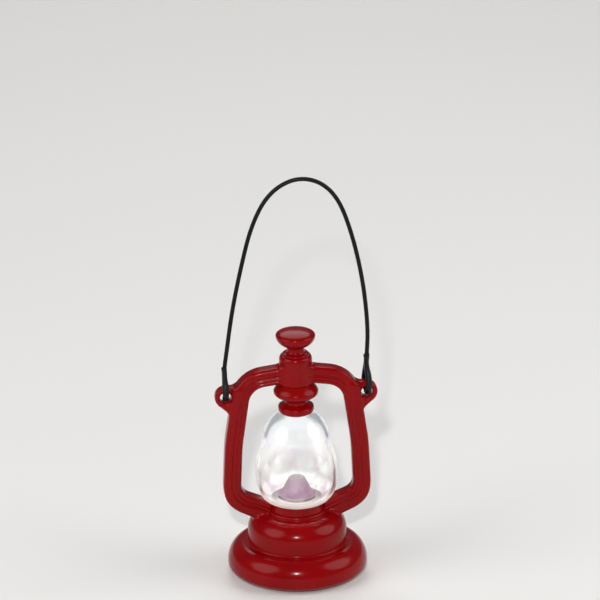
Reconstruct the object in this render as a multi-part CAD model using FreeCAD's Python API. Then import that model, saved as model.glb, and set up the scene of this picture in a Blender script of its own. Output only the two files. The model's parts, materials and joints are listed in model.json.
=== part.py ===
import FreeCAD, Part
import math
import os

# Small battery lantern in the shape of an oil lamp, in millimetres.
# +Z is up, the lamp stands on z = 0 with its axis on Z, and the two arms of its frame lie along X.

Vector = FreeCAD.Vector
UP = Vector(0, 0, 1)

# Moulded base: a broad foot tier, a narrower domed tier and a collar ring, one hollow shell
BASE_RADIUS = 32.0
BASE_WALL = 2.0
FOOT_OPENING_RADIUS = 21.5
FOOT_FLAT = 1.5
FOOT_EDGE_HEIGHT = 4.6
FOOT_BAND_HEIGHT = 1.2
FOOT_SHOULDER_HEIGHT = 9.4
FOOT_SHOULDER_REACH = 7.4
DOME_RADIUS = 22.7
DOME_BAND_HEIGHT = 5.4
DOME_RISE = 8.3
TIER_COVE = 0.8
COLLAR_RADIUS = 14.0
COLLAR_HEIGHT = 1.5
NECK_BORE_RADIUS = 9.5

# Globe, a clear hollow moulding open at both ends
SEAT_HEIGHT = 4.1
SEAT_RADIUS = 12.6
GLOBE_HEIGHT = 43.7
GLOBE_RADIUS = 19.1
GLOBE_FOOT_RADIUS = 12.0
GLOBE_SHOULDER_RADIUS = 15.6
GLOBE_TOP_RADIUS = 7.2
GLOBE_WALL = 1.8
GLOBE_TOP_BORE = 4.5

# Burner look inside the globe, with the lamp's LED in it
STEM_RADIUS = 4.0
STEM_BORE_RADIUS = 2.6
PLATE_RADIUS = 8.6
PLATE_THICKNESS = 0.8
PLATE_LIFT = 2.7
CONE_RADIUS = 7.8
CONE_TOP_RADIUS = 3.5
CONE_HEIGHT = 7.6
CONE_WALL = 1.0
LED_RADIUS = 1.5
LED_FLANGE_RADIUS = 1.9
LED_FLANGE_HEIGHT = 1.0
LED_HEIGHT = 5.3

# Where the globe's belly ends below and above and where its shoulder is, as shares of its height
GLOBE_BELLY_LOW = 0.29
GLOBE_BELLY_HIGH = 0.35
GLOBE_SHOULDER = 0.65
GLOBE_SHOULDER_BEND = 0.4
GLOBE_CROWN_BEND = 0.66
GLOBE_CROWN_DRAW = 0.5

# Hood over the globe: a small disc, a neck and a flared cap. Heights are above the globe.
HOOD_HEIGHT = 14.5
HOOD_DISC_RADIUS = 8.3
HOOD_DISC_FOOT_RADIUS = 6.9
HOOD_DISC_MIDDLE = 2.1
HOOD_DISC_HEIGHT = 3.6
HOOD_DISC_TOP_RADIUS = 7.4
HOOD_NECK_RADIUS = 5.05
HOOD_NECK_LOW = 4.9
HOOD_NECK_HIGH = 5.4
HOOD_SKIRT_RADIUS = 6.6
HOOD_SKIRT_LOW = 6.6
HOOD_FLARE_RADIUS = 10.35
HOOD_FLARE_EDGE_RADIUS = 9.4
HOOD_FLARE_LOW = 8.3
HOOD_FLARE_MIDDLE = 10.1
HOOD_FLARE_TOP_RADIUS = 8.3
HOOD_FLARE_TOP = 13.5
SPIGOT_RADIUS = 4.4
SPIGOT_LENGTH = 4.0

# Frame: a barrel on the lamp's axis with an arm and a pierced lug each side, one moulding
BARREL_RADIUS = 7.05
BARREL_HEIGHT = 14.1
BARREL_BEAD = 0.35
BARREL_BEAD_DROP = 2.4
BARREL_BEAD_HEIGHT = 1.8
BARREL_LIP_RADIUS = 6.3
ARM_WIDTH = 8.2
ARM_DEPTH = 8.0
ARM_EDGE_RADIUS = 2.0
ARM_SPREAD = 30.3
ARM_TOP_LEAN = 5.6
ARM_TOP_DROP = 3.5
ARM_TOP_SHARE = 0.4
ARM_WAIST_LEAN = 1.1
ARM_WAIST_SHARE = 0.66
ARM_FOOT_RISE = 5.2
ARM_FOOT_DROP = 4.0
ARM_BEND_RADII = [12.5, 90.0, 10.5]
ARM_FOOT_INSET = 2.1
ARM_FOOT_CLEARANCE = 3.0
LUG_SPREAD = 32.7
LUG_RISE = 9.0
LUG_RADIUS = 5.0
LUG_HOLE_RADIUS = 2.6
LUG_DEPTH = 5.5
LUG_EDGE = 0.7
WEB_TOP_REACH = 9.5
WEB_TOE_REACH = 0.9
WEB_TOE_DROP = 7.6
WEB_HEEL_REACH = 5.5
WEB_HEEL_DROP = 8.5

# Finial knob on top of the barrel. Heights are above the barrel.
FINIAL_HEIGHT = 11.9
FINIAL_FOOT_RADIUS = 6.1
FINIAL_FOOT_HEIGHT = 0.4
FINIAL_NECK_RADIUS = 4.05
FINIAL_NECK_LOW = 2.1
FINIAL_NECK_HIGH = 3.0
KNOB_FOOT_RADIUS = 5.7
KNOB_FOOT_HEIGHT = 4.7
KNOB_RADIUS = 9.2
KNOB_RIM_HEIGHT = 9.3

# Fasteners
SCREW_RADIUS = 1.0
SCREW_LENGTH = 8.0
SCREW_HEAD_RADIUS = 1.9
SCREW_HEAD_HEIGHT = 1.5
SCREW_SLOT_WIDTH = 0.5
SCREW_SLOT_DEPTH = 0.6
HOOD_SCREW_RADIUS = 1.25
HOOD_SCREW_LENGTH = 28.0
HOOD_SCREW_HEAD_RADIUS = 2.3
HOOD_SCREW_HEAD_HEIGHT = 1.7

# Bottom cover with the battery well, the switch and the circuit board
COVER_THICKNESS = 2.0
COVER_RECESS = 1.5
BOSS_RADIUS = 2.7
COVER_SCREW_INSET = 4.0
FRAME_SCREW_INSET = 5.2
CELL_RADIUS = 5.8
CELL_HEIGHT = 5.4
CELL_COUNT = 3
WELL_WALL = 1.2
WELL_OFFSET = -6.5
CONTACT_THICKNESS = 0.3
CONTACT_RADIUS = 4.0
DOOR_LENGTH = 21.0
DOOR_WIDTH = 15.0
DOOR_THICKNESS = 1.2
BOARD_LENGTH = 11.0
BOARD_WIDTH = 14.0
BOARD_THICKNESS = 1.2
SWITCH_LENGTH = 8.5
SWITCH_WIDTH = 3.7
SWITCH_HEIGHT = 3.5
SLIDER_LENGTH = 2.6
SLIDER_WIDTH = 1.8
SLIDER_TRAVEL = 2.0
SLIDER_DROP = 3.0
RESISTOR_SIZE = (3.2, 1.6, 0.7)
WIRE_RADIUS = 0.5
WIRE_SPACING = 2.6
# Bends of the LED's wires: share of the rise, of the start's offset and of the wires' spacing
WIRE_BENDS = [(0.25, 1.0, 1.0), (0.5, 0.75, 0.9), (0.8, 0.2, 0.47)]

# Carrying cord
CORD_RADIUS = 1.0
LOOP_CLEARANCE = 0.2
RUN_SHARE = 0.45

# Clearances
FIT = 0.1
COVER_FIT = 0.3
CELL_FIT = 0.2
SLIDER_FIT = 0.05
SLOT_FIT = 0.3

# Heights that follow from the sizes above
FOOT_TOP = FOOT_EDGE_HEIGHT + FOOT_BAND_HEIGHT + FOOT_SHOULDER_HEIGHT
DOME_BAND_TOP = FOOT_TOP + TIER_COVE + DOME_BAND_HEIGHT
DOME_TOP = DOME_BAND_TOP + DOME_RISE
COLLAR_TOP = DOME_TOP + COLLAR_HEIGHT
GLOBE_BOTTOM = COLLAR_TOP + SEAT_HEIGHT
GLOBE_TOP = GLOBE_BOTTOM + GLOBE_HEIGHT
HOOD_TOP = GLOBE_TOP + HOOD_HEIGHT
BARREL_TOP = HOOD_TOP + BARREL_HEIGHT
LUG_HEIGHT = GLOBE_TOP + LUG_RISE
COVER_TOP = COVER_RECESS + COVER_THICKNESS
WELL_HEIGHT = CELL_COUNT * CELL_HEIGHT + 2 * CONTACT_THICKNESS
WELL_BOTTOM = COVER_RECESS + DOOR_THICKNESS
BOARD_BOTTOM = COVER_TOP + SWITCH_HEIGHT
PLATE_BOTTOM = GLOBE_BOTTOM + PLATE_LIFT
CONE_BOTTOM = PLATE_BOTTOM + PLATE_THICKNESS
ARM_FOOT_HEIGHT = DOME_TOP + ARM_FOOT_CLEARANCE
HOLDER_BOTTOM = PLATE_BOTTOM - WELL_WALL
HOLDER_TOP = CONE_BOTTOM + CONE_HEIGHT - LED_HEIGHT + LED_RADIUS - LED_FLANGE_HEIGHT
HOOD_SCREW_SEAT = GLOBE_TOP + 2 * HOOD_SCREW_HEAD_HEIGHT
FRAME_PAD_BOTTOM = DOME_BAND_TOP + DOME_RISE / 2 - BASE_WALL
COVER_BORE_DEPTH = COVER_THICKNESS / 2

# Places along X of what the bottom cover carries
DOOR_MIDDLE = WELL_OFFSET + (DOOR_LENGTH - DOOR_WIDTH) / 2
DOOR_SCREW_X = WELL_OFFSET + CELL_RADIUS + WELL_WALL + BOSS_RADIUS
DOOR_SCREW_Z = WELL_BOTTOM - COVER_BORE_DEPTH / 2
BOARD_OFFSET = DOOR_SCREW_X + BOSS_RADIUS + FIT + BOARD_LENGTH / 2

# The cord's eye turns round the bar of plastic between the lug's hole and its outer edge
RIM_MIDDLE = LUG_HEIGHT + (LUG_HOLE_RADIUS + LUG_RADIUS) / 2
RIM_HALF_HEIGHT = (LUG_RADIUS - LUG_HOLE_RADIUS) / 2
EYE_INNER_RADIUS = math.hypot(RIM_HALF_HEIGHT, LUG_DEPTH / 2) + LOOP_CLEARANCE

# Route of the cord, hand-chosen: x, y and height above RIM_MIDDLE, from the tail in the left
# sleeve, through the left lug, over the top and through the right lug to the other tail.
CORD_ROUTE = [
    (-32.90, -1.30, 9.2),
    (-32.85, -2.70, 4.6),
    (-32.80, -4.20, 1.8),
    (-32.80, -4.20, -1.8),
    (-32.75, -1.75, -4.2),
    (-32.70, 1.75, -4.2),
    (-32.70, 4.20, -1.8),
    (-32.70, 4.20, 1.8),
    (-33.00, 0.95, 9.4),
    (-31.75, 0.00, 19.5),
    (-29.20, 0.00, 38.5),
    (-25.10, 0.00, 59.0),
    (-20.10, 0.00, 80.0),
    (-12.40, 0.00, 95.7),
    (-0.50, 0.00, 103.3),
    (11.30, 0.00, 101.7),
    (20.40, 0.00, 92.6),
    (26.70, 0.00, 74.2),
    (31.40, 0.00, 51.5),
    (33.60, 0.00, 28.5),
    (33.10, 0.60, 14.0),
    (32.30, 2.00, 7.2),
    (31.80, 4.15, 1.8),
    (31.80, 4.15, -1.8),
    (32.35, 1.72, -4.2),
    (33.05, -1.72, -4.2),
    (33.60, -4.15, -1.8),
    (33.60, -4.15, 1.8),
    (33.20, -2.75, 5.0),
    (32.80, -1.50, 8.6),
    (32.40, -1.25, 12.6),
]

# Shrunk sleeves: centre x, y, height above RIM_MIDDLE, half width along X and half depth along Y
LEFT_SLEEVE = [
    (-32.95, 0.70, 10.4, 1.12, 1.25),
    (-32.98, 0.00, 9.2, 1.30, 2.40),
    (-32.95, 0.00, 6.4, 1.22, 3.00),
    (-32.90, -3.20, 3.9, 1.40, 1.60),
    (-32.80, -4.35, 1.2, 1.55, 1.30),
    (-32.80, -4.30, -1.4, 1.60, 1.25),
]
RIGHT_SLEEVE = [
    (33.06, 0.60, 14.2, 1.12, 1.25),
    (32.72, -0.25, 13.0, 1.50, 2.15),
    (32.70, 0.00, 10.0, 1.12, 2.60),
    (32.80, -0.25, 7.2, 1.45, 3.20),
    (33.40, -3.20, 4.6, 1.45, 1.55),
    (33.55, -4.25, 1.4, 1.55, 1.30),
    (33.40, -4.20, -0.8, 1.42, 1.22),
]


class Outline:
    """Closed outline of radius against height, drawn piece by piece and turned about Z."""

    def __init__(self, radius, height):
        self.first = Vector(radius, 0, height)
        self.last = self.first
        self.edges = []

    def line(self, radius, height):
        """Straight on to a point."""
        point = Vector(radius, 0, height)
        self.edges.append(Part.LineSegment(self.last, point).toShape())
        self.last = point
        return self

    def bend(self, corner, radius, height):
        """Elliptical quarter to a point, whose end tangents meet at the corner."""
        point = Vector(radius, 0, height)
        curve = Part.BezierCurve()
        curve.setPoles([self.last, Vector(corner[0], 0, corner[1]), point])
        curve.setWeight(2, math.sqrt(0.5))
        self.edges.append(curve.toShape())
        self.last = point
        return self

    def turned(self):
        """Close the outline and turn it into a solid."""
        self.line(self.first.x, self.first.z)
        face = Part.Face(Part.Wire(self.edges))
        return face.revolve(Vector(0, 0, 0), UP, 360)


def block(x, y, z, length, width, height):
    """Box centred on x and y, standing on z."""
    return Part.makeBox(length, width, height, Vector(x - length / 2, y - width / 2, z))


def drum(radius, z, height, x=0.0, y=0.0):
    """Upright cylinder standing on z."""
    return Part.makeCylinder(radius, height, Vector(x, y, z), UP)


def round_about(radius, angles):
    """Points on a circle about Z at angles in degrees."""
    turns = [math.radians(angle) for angle in angles]
    return [(radius * math.cos(turn), radius * math.sin(turn)) for turn in turns]


def tangent_path(points, radii=None):
    """Straight runs joined by tangent arcs. Without radii each arc is as large as its runs allow."""
    edges = []
    used = []
    start = points[0]
    for number in range(1, len(points) - 1):
        point = points[number]
        before = points[number - 1] - point
        after = points[number + 1] - point
        half_turn = (math.pi - before.getAngle(after)) / 2
        reach = RUN_SHARE * min(before.Length, after.Length)
        if radii:
            reach = radii[number - 1] * math.tan(half_turn)
        radius = reach / math.tan(half_turn)
        before.normalize()
        after.normalize()
        inward = (before + after).normalize()
        arc_start = point + before * reach
        arc_end = point + after * reach
        arc_middle = point + inward * (radius / math.cos(half_turn) - radius)
        edges.append(Part.LineSegment(start, arc_start).toShape())
        edges.append(Part.Arc(arc_start, arc_middle, arc_end).toShape())
        used.append(radius)
        start = arc_end
    edges.append(Part.LineSegment(start, points[-1]).toShape())
    return Part.Wire(edges), used


def tube(points, radius, name):
    """Round solid along the points, with its arc radii and its volume against section x length."""
    path, radii = tangent_path(points)
    first = path.Edges[0]
    heading = first.tangentAt(first.FirstParameter)
    ring = Part.Wire(Part.makeCircle(radius, points[0], heading))
    solid = path.makePipeShell([ring], True, True)
    expected = math.pi * radius ** 2 * path.Length
    print(name, "length", round(path.Length, 1), "volume share", round(solid.Volume / expected, 4))
    print(name, "arc radii", [round(value, 1) for value in radii])
    return solid


def screw(radius, length, head_radius, head_height):
    """Pan-head screw with a slot: the head below z = 0 and the shank above it."""
    shank = drum(radius, 0, length)
    head = drum(head_radius, -head_height, head_height)
    slot = block(0, 0, -head_height, 2 * head_radius, SCREW_SLOT_WIDTH, SCREW_SLOT_DEPTH)
    return head.fuse(shank).cut(slot).removeSplitter()


def moved(shape, x, y, z):
    """Copy of a shape, shifted."""
    copy = shape.copy()
    copy.translate(Vector(x, y, z))
    return copy


def small_screw():
    """The self-tapping screw used for the cover, the door and the frame."""
    return screw(SCREW_RADIUS, SCREW_LENGTH, SCREW_HEAD_RADIUS, SCREW_HEAD_HEIGHT)


COVER_SCREW_PLACES = round_about(FOOT_OPENING_RADIUS - COVER_SCREW_INSET, (90, 210, 330))
FRAME_SCREW_PLACES = round_about(DOME_RADIUS - FRAME_SCREW_INSET, (0, 180))


def base_outside():
    """The base filled solid, which the arms are fitted against."""
    shape = Outline(0, 0).line(FOOT_OPENING_RADIUS + FOOT_FLAT, 0)
    shape.bend((BASE_RADIUS, 0), BASE_RADIUS, FOOT_EDGE_HEIGHT)
    shape.line(BASE_RADIUS, FOOT_EDGE_HEIGHT + FOOT_BAND_HEIGHT)
    shape.bend((BASE_RADIUS, FOOT_TOP), BASE_RADIUS - FOOT_SHOULDER_REACH, FOOT_TOP)
    shape.line(DOME_RADIUS + TIER_COVE, FOOT_TOP)
    shape.bend((DOME_RADIUS, FOOT_TOP), DOME_RADIUS, FOOT_TOP + TIER_COVE)
    shape.line(DOME_RADIUS, DOME_BAND_TOP)
    shape.bend((DOME_RADIUS, DOME_TOP), COLLAR_RADIUS + TIER_COVE, DOME_TOP)
    shape.line(COLLAR_RADIUS, DOME_TOP)
    shape.line(COLLAR_RADIUS, COLLAR_TOP - TIER_COVE)
    shape.bend((COLLAR_RADIUS, COLLAR_TOP), COLLAR_RADIUS - TIER_COVE, COLLAR_TOP)
    shape.line(0, COLLAR_TOP)
    return shape.turned()


def base_hollow():
    """The space inside the base, one wall in from its outside, with flats for its domed roof."""
    inner = BASE_RADIUS - BASE_WALL
    dome = DOME_RADIUS - BASE_WALL
    roof = DOME_TOP - BASE_WALL
    ledge = FOOT_TOP - BASE_WALL
    shape = Outline(0, BASE_WALL).line(FOOT_OPENING_RADIUS + FOOT_FLAT, BASE_WALL)
    shape.bend((inner, BASE_WALL), inner, FOOT_EDGE_HEIGHT)
    shape.line(inner, FOOT_EDGE_HEIGHT + FOOT_BAND_HEIGHT)
    shape.bend((inner, ledge), BASE_RADIUS - FOOT_SHOULDER_REACH, ledge)
    shape.line(dome, ledge).line(dome, DOME_BAND_TOP)
    slope = math.sqrt(0.5)
    reach = dome - COLLAR_RADIUS - TIER_COVE
    shape.line(dome - reach * (1 - slope), DOME_BAND_TOP + (roof - DOME_BAND_TOP) * slope)
    shape.line(COLLAR_RADIUS + TIER_COVE, roof).line(0, roof)
    return shape.turned()


def base_shell():
    """Both tiers and the collar as one hollow moulding, with its screw bosses and arm pads."""
    posts = [drum(BOSS_RADIUS, COVER_TOP, DOME_TOP, x, y) for x, y in COVER_SCREW_PLACES]
    posts += [drum(BOSS_RADIUS, FRAME_PAD_BOTTOM, DOME_TOP, x, y) for x, y in FRAME_SCREW_PLACES]
    space = base_hollow().cut(posts[0].multiFuse(posts[1:]))
    opening = drum(FOOT_OPENING_RADIUS, 0, BASE_WALL)
    neck = drum(NECK_BORE_RADIUS, DOME_TOP - BASE_WALL, COLLAR_TOP - DOME_TOP + BASE_WALL)
    pilots = [drum(SCREW_RADIUS, COVER_TOP, SCREW_LENGTH, x, y) for x, y in COVER_SCREW_PLACES]
    pilots += [drum(SCREW_RADIUS, FRAME_PAD_BOTTOM, SCREW_LENGTH, x, y) for x, y in FRAME_SCREW_PLACES]
    return base_outside().cut(space).cut(opening.multiFuse([neck] + pilots))


def cover_screws():
    """Three screws through the bottom cover into the bosses."""
    height = COVER_RECESS + COVER_BORE_DEPTH
    return Part.makeCompound([moved(small_screw(), x, y, height) for x, y in COVER_SCREW_PLACES])


def frame_screws():
    """Two screws from inside the base up into the feet of the arms."""
    return Part.makeCompound([moved(small_screw(), x, y, FRAME_PAD_BOTTOM) for x, y in FRAME_SCREW_PLACES])


def base_cover():
    """Bottom cover: a disc with the battery well, the door's recess, screw holes and switch slot."""
    disc = drum(FOOT_OPENING_RADIUS - COVER_FIT, COVER_RECESS, COVER_THICKNESS)
    well = drum(CELL_RADIUS + CELL_FIT + WELL_WALL, COVER_TOP, WELL_BOTTOM + WELL_HEIGHT - COVER_TOP,
                WELL_OFFSET)
    lid = drum(CELL_RADIUS + CELL_FIT + WELL_WALL, WELL_BOTTOM + WELL_HEIGHT, WELL_WALL, WELL_OFFSET)
    door_boss = drum(BOSS_RADIUS, COVER_TOP, SCREW_LENGTH, DOOR_SCREW_X)
    posts = [block(BOARD_OFFSET, side * (BOARD_WIDTH - 2 * WELL_WALL) / 2, COVER_TOP,
                   BOARD_LENGTH - 2 * WELL_WALL, WELL_WALL, SWITCH_HEIGHT) for side in (-1, 1)]
    solid = disc.multiFuse([well, lid, door_boss] + posts)
    cuts = [drum(CELL_RADIUS + CELL_FIT, COVER_RECESS, WELL_BOTTOM + WELL_HEIGHT - COVER_RECESS,
                 WELL_OFFSET)]
    cuts.append(block(DOOR_MIDDLE, 0, COVER_RECESS, DOOR_LENGTH + 2 * FIT, DOOR_WIDTH + 2 * FIT,
                      DOOR_THICKNESS))
    cuts.append(drum(SCREW_RADIUS, DOOR_SCREW_Z, SCREW_LENGTH, DOOR_SCREW_X))
    for x, y in COVER_SCREW_PLACES:
        cuts.append(drum(SCREW_RADIUS + FIT, COVER_RECESS, COVER_THICKNESS, x, y))
        cuts.append(drum(SCREW_HEAD_RADIUS + FIT, COVER_RECESS, COVER_BORE_DEPTH, x, y))
        cuts.append(drum(BOSS_RADIUS + FIT, COVER_TOP, SWITCH_HEIGHT, x, y))
    slot_length = SLIDER_LENGTH + SLIDER_TRAVEL + 2 * SLOT_FIT
    cuts.append(block(BOARD_OFFSET, 0, COVER_RECESS, slot_length, SLIDER_WIDTH + 2 * SLOT_FIT,
                      COVER_THICKNESS))
    return solid.cut(cuts[0].multiFuse(cuts[1:])).removeSplitter()


def battery_door():
    """Flat lid over the cells, let into the cover, with a countersunk seat for its screw."""
    plate = block(DOOR_MIDDLE, 0, COVER_RECESS, DOOR_LENGTH, DOOR_WIDTH, DOOR_THICKNESS)
    plate = plate.makeFillet(WELL_WALL, [edge for edge in plate.Edges
                                         if abs(edge.BoundBox.ZLength - DOOR_THICKNESS) < 1e-6])
    hole = drum(SCREW_RADIUS + FIT, COVER_RECESS, DOOR_THICKNESS, DOOR_SCREW_X)
    seat = drum(SCREW_HEAD_RADIUS + FIT, COVER_RECESS, DOOR_SCREW_Z - COVER_RECESS, DOOR_SCREW_X)
    grip = block(WELL_OFFSET - CELL_RADIUS, 0, COVER_RECESS, WELL_WALL, DOOR_WIDTH / 2,
                 DOOR_THICKNESS / 2)
    return plate.cut(hole.multiFuse([seat, grip]))


def battery_door_screw():
    """The one screw that holds the battery door."""
    short = screw(SCREW_RADIUS, SCREW_LENGTH - COVER_BORE_DEPTH, SCREW_HEAD_RADIUS,
                  SCREW_HEAD_HEIGHT)
    return moved(short, DOOR_SCREW_X, 0, DOOR_SCREW_Z)


def button_cells():
    """Three button cells in a stack, each a can with a narrower top."""
    cells = []
    for number in range(CELL_COUNT):
        z = WELL_BOTTOM + CONTACT_THICKNESS + number * CELL_HEIGHT
        can = drum(CELL_RADIUS, z, CELL_HEIGHT - CONTACT_THICKNESS, WELL_OFFSET)
        top = drum(CELL_RADIUS - WELL_WALL, z, CELL_HEIGHT, WELL_OFFSET)
        cells.append(can.fuse(top).removeSplitter())
    return Part.makeCompound(cells)


def contact(z):
    """Round spring-steel contact at one end of the cells."""
    return drum(CONTACT_RADIUS, z, CONTACT_THICKNESS, WELL_OFFSET)


def circuit_board():
    """Board above the switch, trimmed round the cover's screw bosses."""
    board = block(BOARD_OFFSET, 0, BOARD_BOTTOM, BOARD_LENGTH, BOARD_WIDTH, BOARD_THICKNESS)
    trims = [drum(BOSS_RADIUS + FIT, BOARD_BOTTOM, BOARD_THICKNESS, x, y)
             for x, y in COVER_SCREW_PLACES]
    return board.cut(trims[0].multiFuse(trims[1:]))


def resistor():
    """Surface-mounted resistor on top of the board."""
    x = BOARD_OFFSET + BOARD_LENGTH / 2 - RESISTOR_SIZE[0]
    return block(x, BOARD_WIDTH / 4, BOARD_BOTTOM + BOARD_THICKNESS, *RESISTOR_SIZE)


def switch_body():
    """Case of the slide switch, open below for its slider."""
    case = block(BOARD_OFFSET, 0, COVER_TOP, SWITCH_LENGTH, SWITCH_WIDTH, SWITCH_HEIGHT)
    slot = block(BOARD_OFFSET, 0, COVER_TOP, SLIDER_LENGTH + SLIDER_TRAVEL + 2 * SLIDER_FIT,
                 SLIDER_WIDTH + 2 * SLIDER_FIT, SWITCH_HEIGHT / 2)
    return case.cut(slot)


def switch_slider():
    """Slider of the switch, off at the low end of its slot, reaching down through the cover."""
    x = BOARD_OFFSET - SLIDER_TRAVEL / 2
    height = SLIDER_DROP + SWITCH_HEIGHT / 2 - SLIDER_FIT
    return block(x, 0, COVER_TOP - SLIDER_DROP, SLIDER_LENGTH, SLIDER_WIDTH, height)


def led_wires():
    """Two wires from the board up through the neck and the stem to the LED's holder."""
    board_top = BOARD_BOTTOM + BOARD_THICKNESS
    start_x = BOARD_OFFSET - BOARD_LENGTH / 4
    rise = DOME_TOP - board_top
    solids = []
    for side in (-1, 1):
        wide = side * WIRE_SPACING
        near = side * STEM_BORE_RADIUS / 3
        points = [Vector(start_x, wide, board_top)]
        points += [Vector(start_x * along, wide * spread, board_top + rise * share)
                   for share, along, spread in WIRE_BENDS]
        points += [Vector(0, near, COLLAR_TOP), Vector(0, near, HOLDER_BOTTOM)]
        solids.append(tube(points, WIRE_RADIUS, "wire"))
    return Part.makeCompound(solids)


def globe_seat():
    """Ring that the globe stands on, with a spigot in the neck and a stem under the burner."""
    ring = drum(SEAT_RADIUS, COLLAR_TOP, SEAT_HEIGHT)
    ring = ring.makeFillet(TIER_COVE, [edge for edge in ring.Edges
                                       if abs(edge.BoundBox.ZMin - GLOBE_BOTTOM) < 1e-6
                                       and edge.BoundBox.ZLength < 1e-6])
    spigot = drum(NECK_BORE_RADIUS - FIT, COLLAR_TOP - BASE_WALL, BASE_WALL)
    stem = drum(STEM_RADIUS, GLOBE_BOTTOM, PLATE_LIFT)
    bore = drum(STEM_BORE_RADIUS, COLLAR_TOP - BASE_WALL, PLATE_BOTTOM - COLLAR_TOP + BASE_WALL)
    return ring.multiFuse([spigot, stem]).cut(bore).removeSplitter()


def burner_plate():
    """Thin round plate under the burner cone."""
    hole = drum(STEM_BORE_RADIUS, PLATE_BOTTOM, PLATE_THICKNESS)
    return drum(PLATE_RADIUS, PLATE_BOTTOM, PLATE_THICKNESS).cut(hole)


def burner_cone():
    """Hollow cone that the light stands in, open at the top for the LED's tip."""
    outside = Part.makeCone(CONE_RADIUS, CONE_TOP_RADIUS, CONE_HEIGHT, Vector(0, 0, CONE_BOTTOM))
    inside = Part.makeCone(CONE_RADIUS - CONE_WALL, CONE_TOP_RADIUS - CONE_WALL,
                           CONE_HEIGHT - CONE_WALL, Vector(0, 0, CONE_BOTTOM))
    tip_hole = drum(LED_RADIUS + FIT, CONE_BOTTOM, CONE_HEIGHT)
    return outside.cut(inside.fuse(tip_hole))


def led_holder():
    """Plug in the stem that carries the LED, with a bore for its wires."""
    plug = drum(STEM_BORE_RADIUS, HOLDER_BOTTOM, PLATE_BOTTOM + PLATE_THICKNESS - HOLDER_BOTTOM)
    post = drum(LED_FLANGE_RADIUS, CONE_BOTTOM, HOLDER_TOP - CONE_BOTTOM)
    return plug.fuse(post).removeSplitter()


def led():
    """Round LED: a flange, a straight body and a domed tip."""
    flange = drum(LED_FLANGE_RADIUS, HOLDER_TOP, LED_FLANGE_HEIGHT)
    body = drum(LED_RADIUS, HOLDER_TOP, LED_HEIGHT - LED_RADIUS)
    tip = Part.makeSphere(LED_RADIUS, Vector(0, 0, HOLDER_TOP + LED_HEIGHT - LED_RADIUS))
    return flange.multiFuse([body, tip]).removeSplitter()


def globe_surface(inset):
    """Turned solid of the globe's outside, drawn in by the inset."""
    belly_low = GLOBE_BOTTOM + GLOBE_BELLY_LOW * GLOBE_HEIGHT
    belly_high = GLOBE_BOTTOM + GLOBE_BELLY_HIGH * GLOBE_HEIGHT
    shoulder = GLOBE_BOTTOM + GLOBE_SHOULDER * GLOBE_HEIGHT
    low = GLOBE_BOTTOM + inset
    high = GLOBE_TOP - inset
    wide = GLOBE_RADIUS - inset
    waist = GLOBE_SHOULDER_RADIUS - inset
    side_corner = belly_high + GLOBE_SHOULDER_BEND * (shoulder - belly_high)
    crown_corner = shoulder + GLOBE_CROWN_BEND * (high - shoulder)
    shape = Outline(0, low).line(GLOBE_FOOT_RADIUS, low)
    shape.bend((wide, low), wide, belly_low)
    shape.line(wide, belly_high)
    shape.bend((wide, side_corner), waist, shoulder)
    shape.bend((waist - GLOBE_CROWN_DRAW, crown_corner), GLOBE_TOP_RADIUS - inset / 2, high)
    shape.line(0, high)
    return shape.turned()


def globe():
    """Clear hollow globe, open below over the burner and above into the hood."""
    bottom_hole = drum(PLATE_RADIUS + 4 * FIT, GLOBE_BOTTOM, GLOBE_WALL)
    top_hole = drum(GLOBE_TOP_BORE, GLOBE_TOP - 2 * GLOBE_WALL, 2 * GLOBE_WALL)
    return globe_surface(0).cut(globe_surface(GLOBE_WALL).fuse([bottom_hole, top_hole]))


def hood():
    """Disc, neck and flared cap in one piece, with a spigot up into the barrel."""
    z = GLOBE_TOP
    shape = Outline(0, z).line(HOOD_DISC_FOOT_RADIUS, z)
    shape.bend((HOOD_DISC_RADIUS, z), HOOD_DISC_RADIUS, z + HOOD_DISC_MIDDLE)
    shape.bend((HOOD_DISC_RADIUS, z + HOOD_DISC_HEIGHT), HOOD_DISC_TOP_RADIUS, z + HOOD_DISC_HEIGHT)
    shape.bend((HOOD_NECK_RADIUS, z + HOOD_DISC_HEIGHT), HOOD_NECK_RADIUS, z + HOOD_NECK_LOW)
    shape.line(HOOD_NECK_RADIUS, z + HOOD_NECK_HIGH)
    shape.bend((HOOD_NECK_RADIUS, z + HOOD_SKIRT_LOW), HOOD_SKIRT_RADIUS, z + HOOD_SKIRT_LOW)
    shape.line(HOOD_FLARE_EDGE_RADIUS, z + HOOD_FLARE_LOW)
    shape.bend((HOOD_FLARE_RADIUS, z + HOOD_FLARE_LOW), HOOD_FLARE_RADIUS, z + HOOD_FLARE_MIDDLE)
    shape.bend((HOOD_FLARE_RADIUS, HOOD_TOP - BARREL_BEAD_DROP), HOOD_FLARE_TOP_RADIUS,
               z + HOOD_FLARE_TOP)
    shape.line(BARREL_RADIUS, HOOD_TOP)
    shape.line(SPIGOT_RADIUS, HOOD_TOP).line(SPIGOT_RADIUS, HOOD_TOP + SPIGOT_LENGTH)
    shape.line(0, HOOD_TOP + SPIGOT_LENGTH)
    screw_way = drum(HOOD_SCREW_RADIUS + FIT, z, HOOD_HEIGHT + SPIGOT_LENGTH)
    head_way = drum(HOOD_SCREW_HEAD_RADIUS + FIT, z, HOOD_SCREW_SEAT - z)
    return shape.turned().cut(screw_way.fuse(head_way))


def hood_screw():
    """Long screw that draws the hood and the finial together through the barrel."""
    fastener = screw(HOOD_SCREW_RADIUS, HOOD_SCREW_LENGTH, HOOD_SCREW_HEAD_RADIUS,
                     HOOD_SCREW_HEAD_HEIGHT)
    return moved(fastener, 0, 0, HOOD_SCREW_SEAT)


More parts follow.
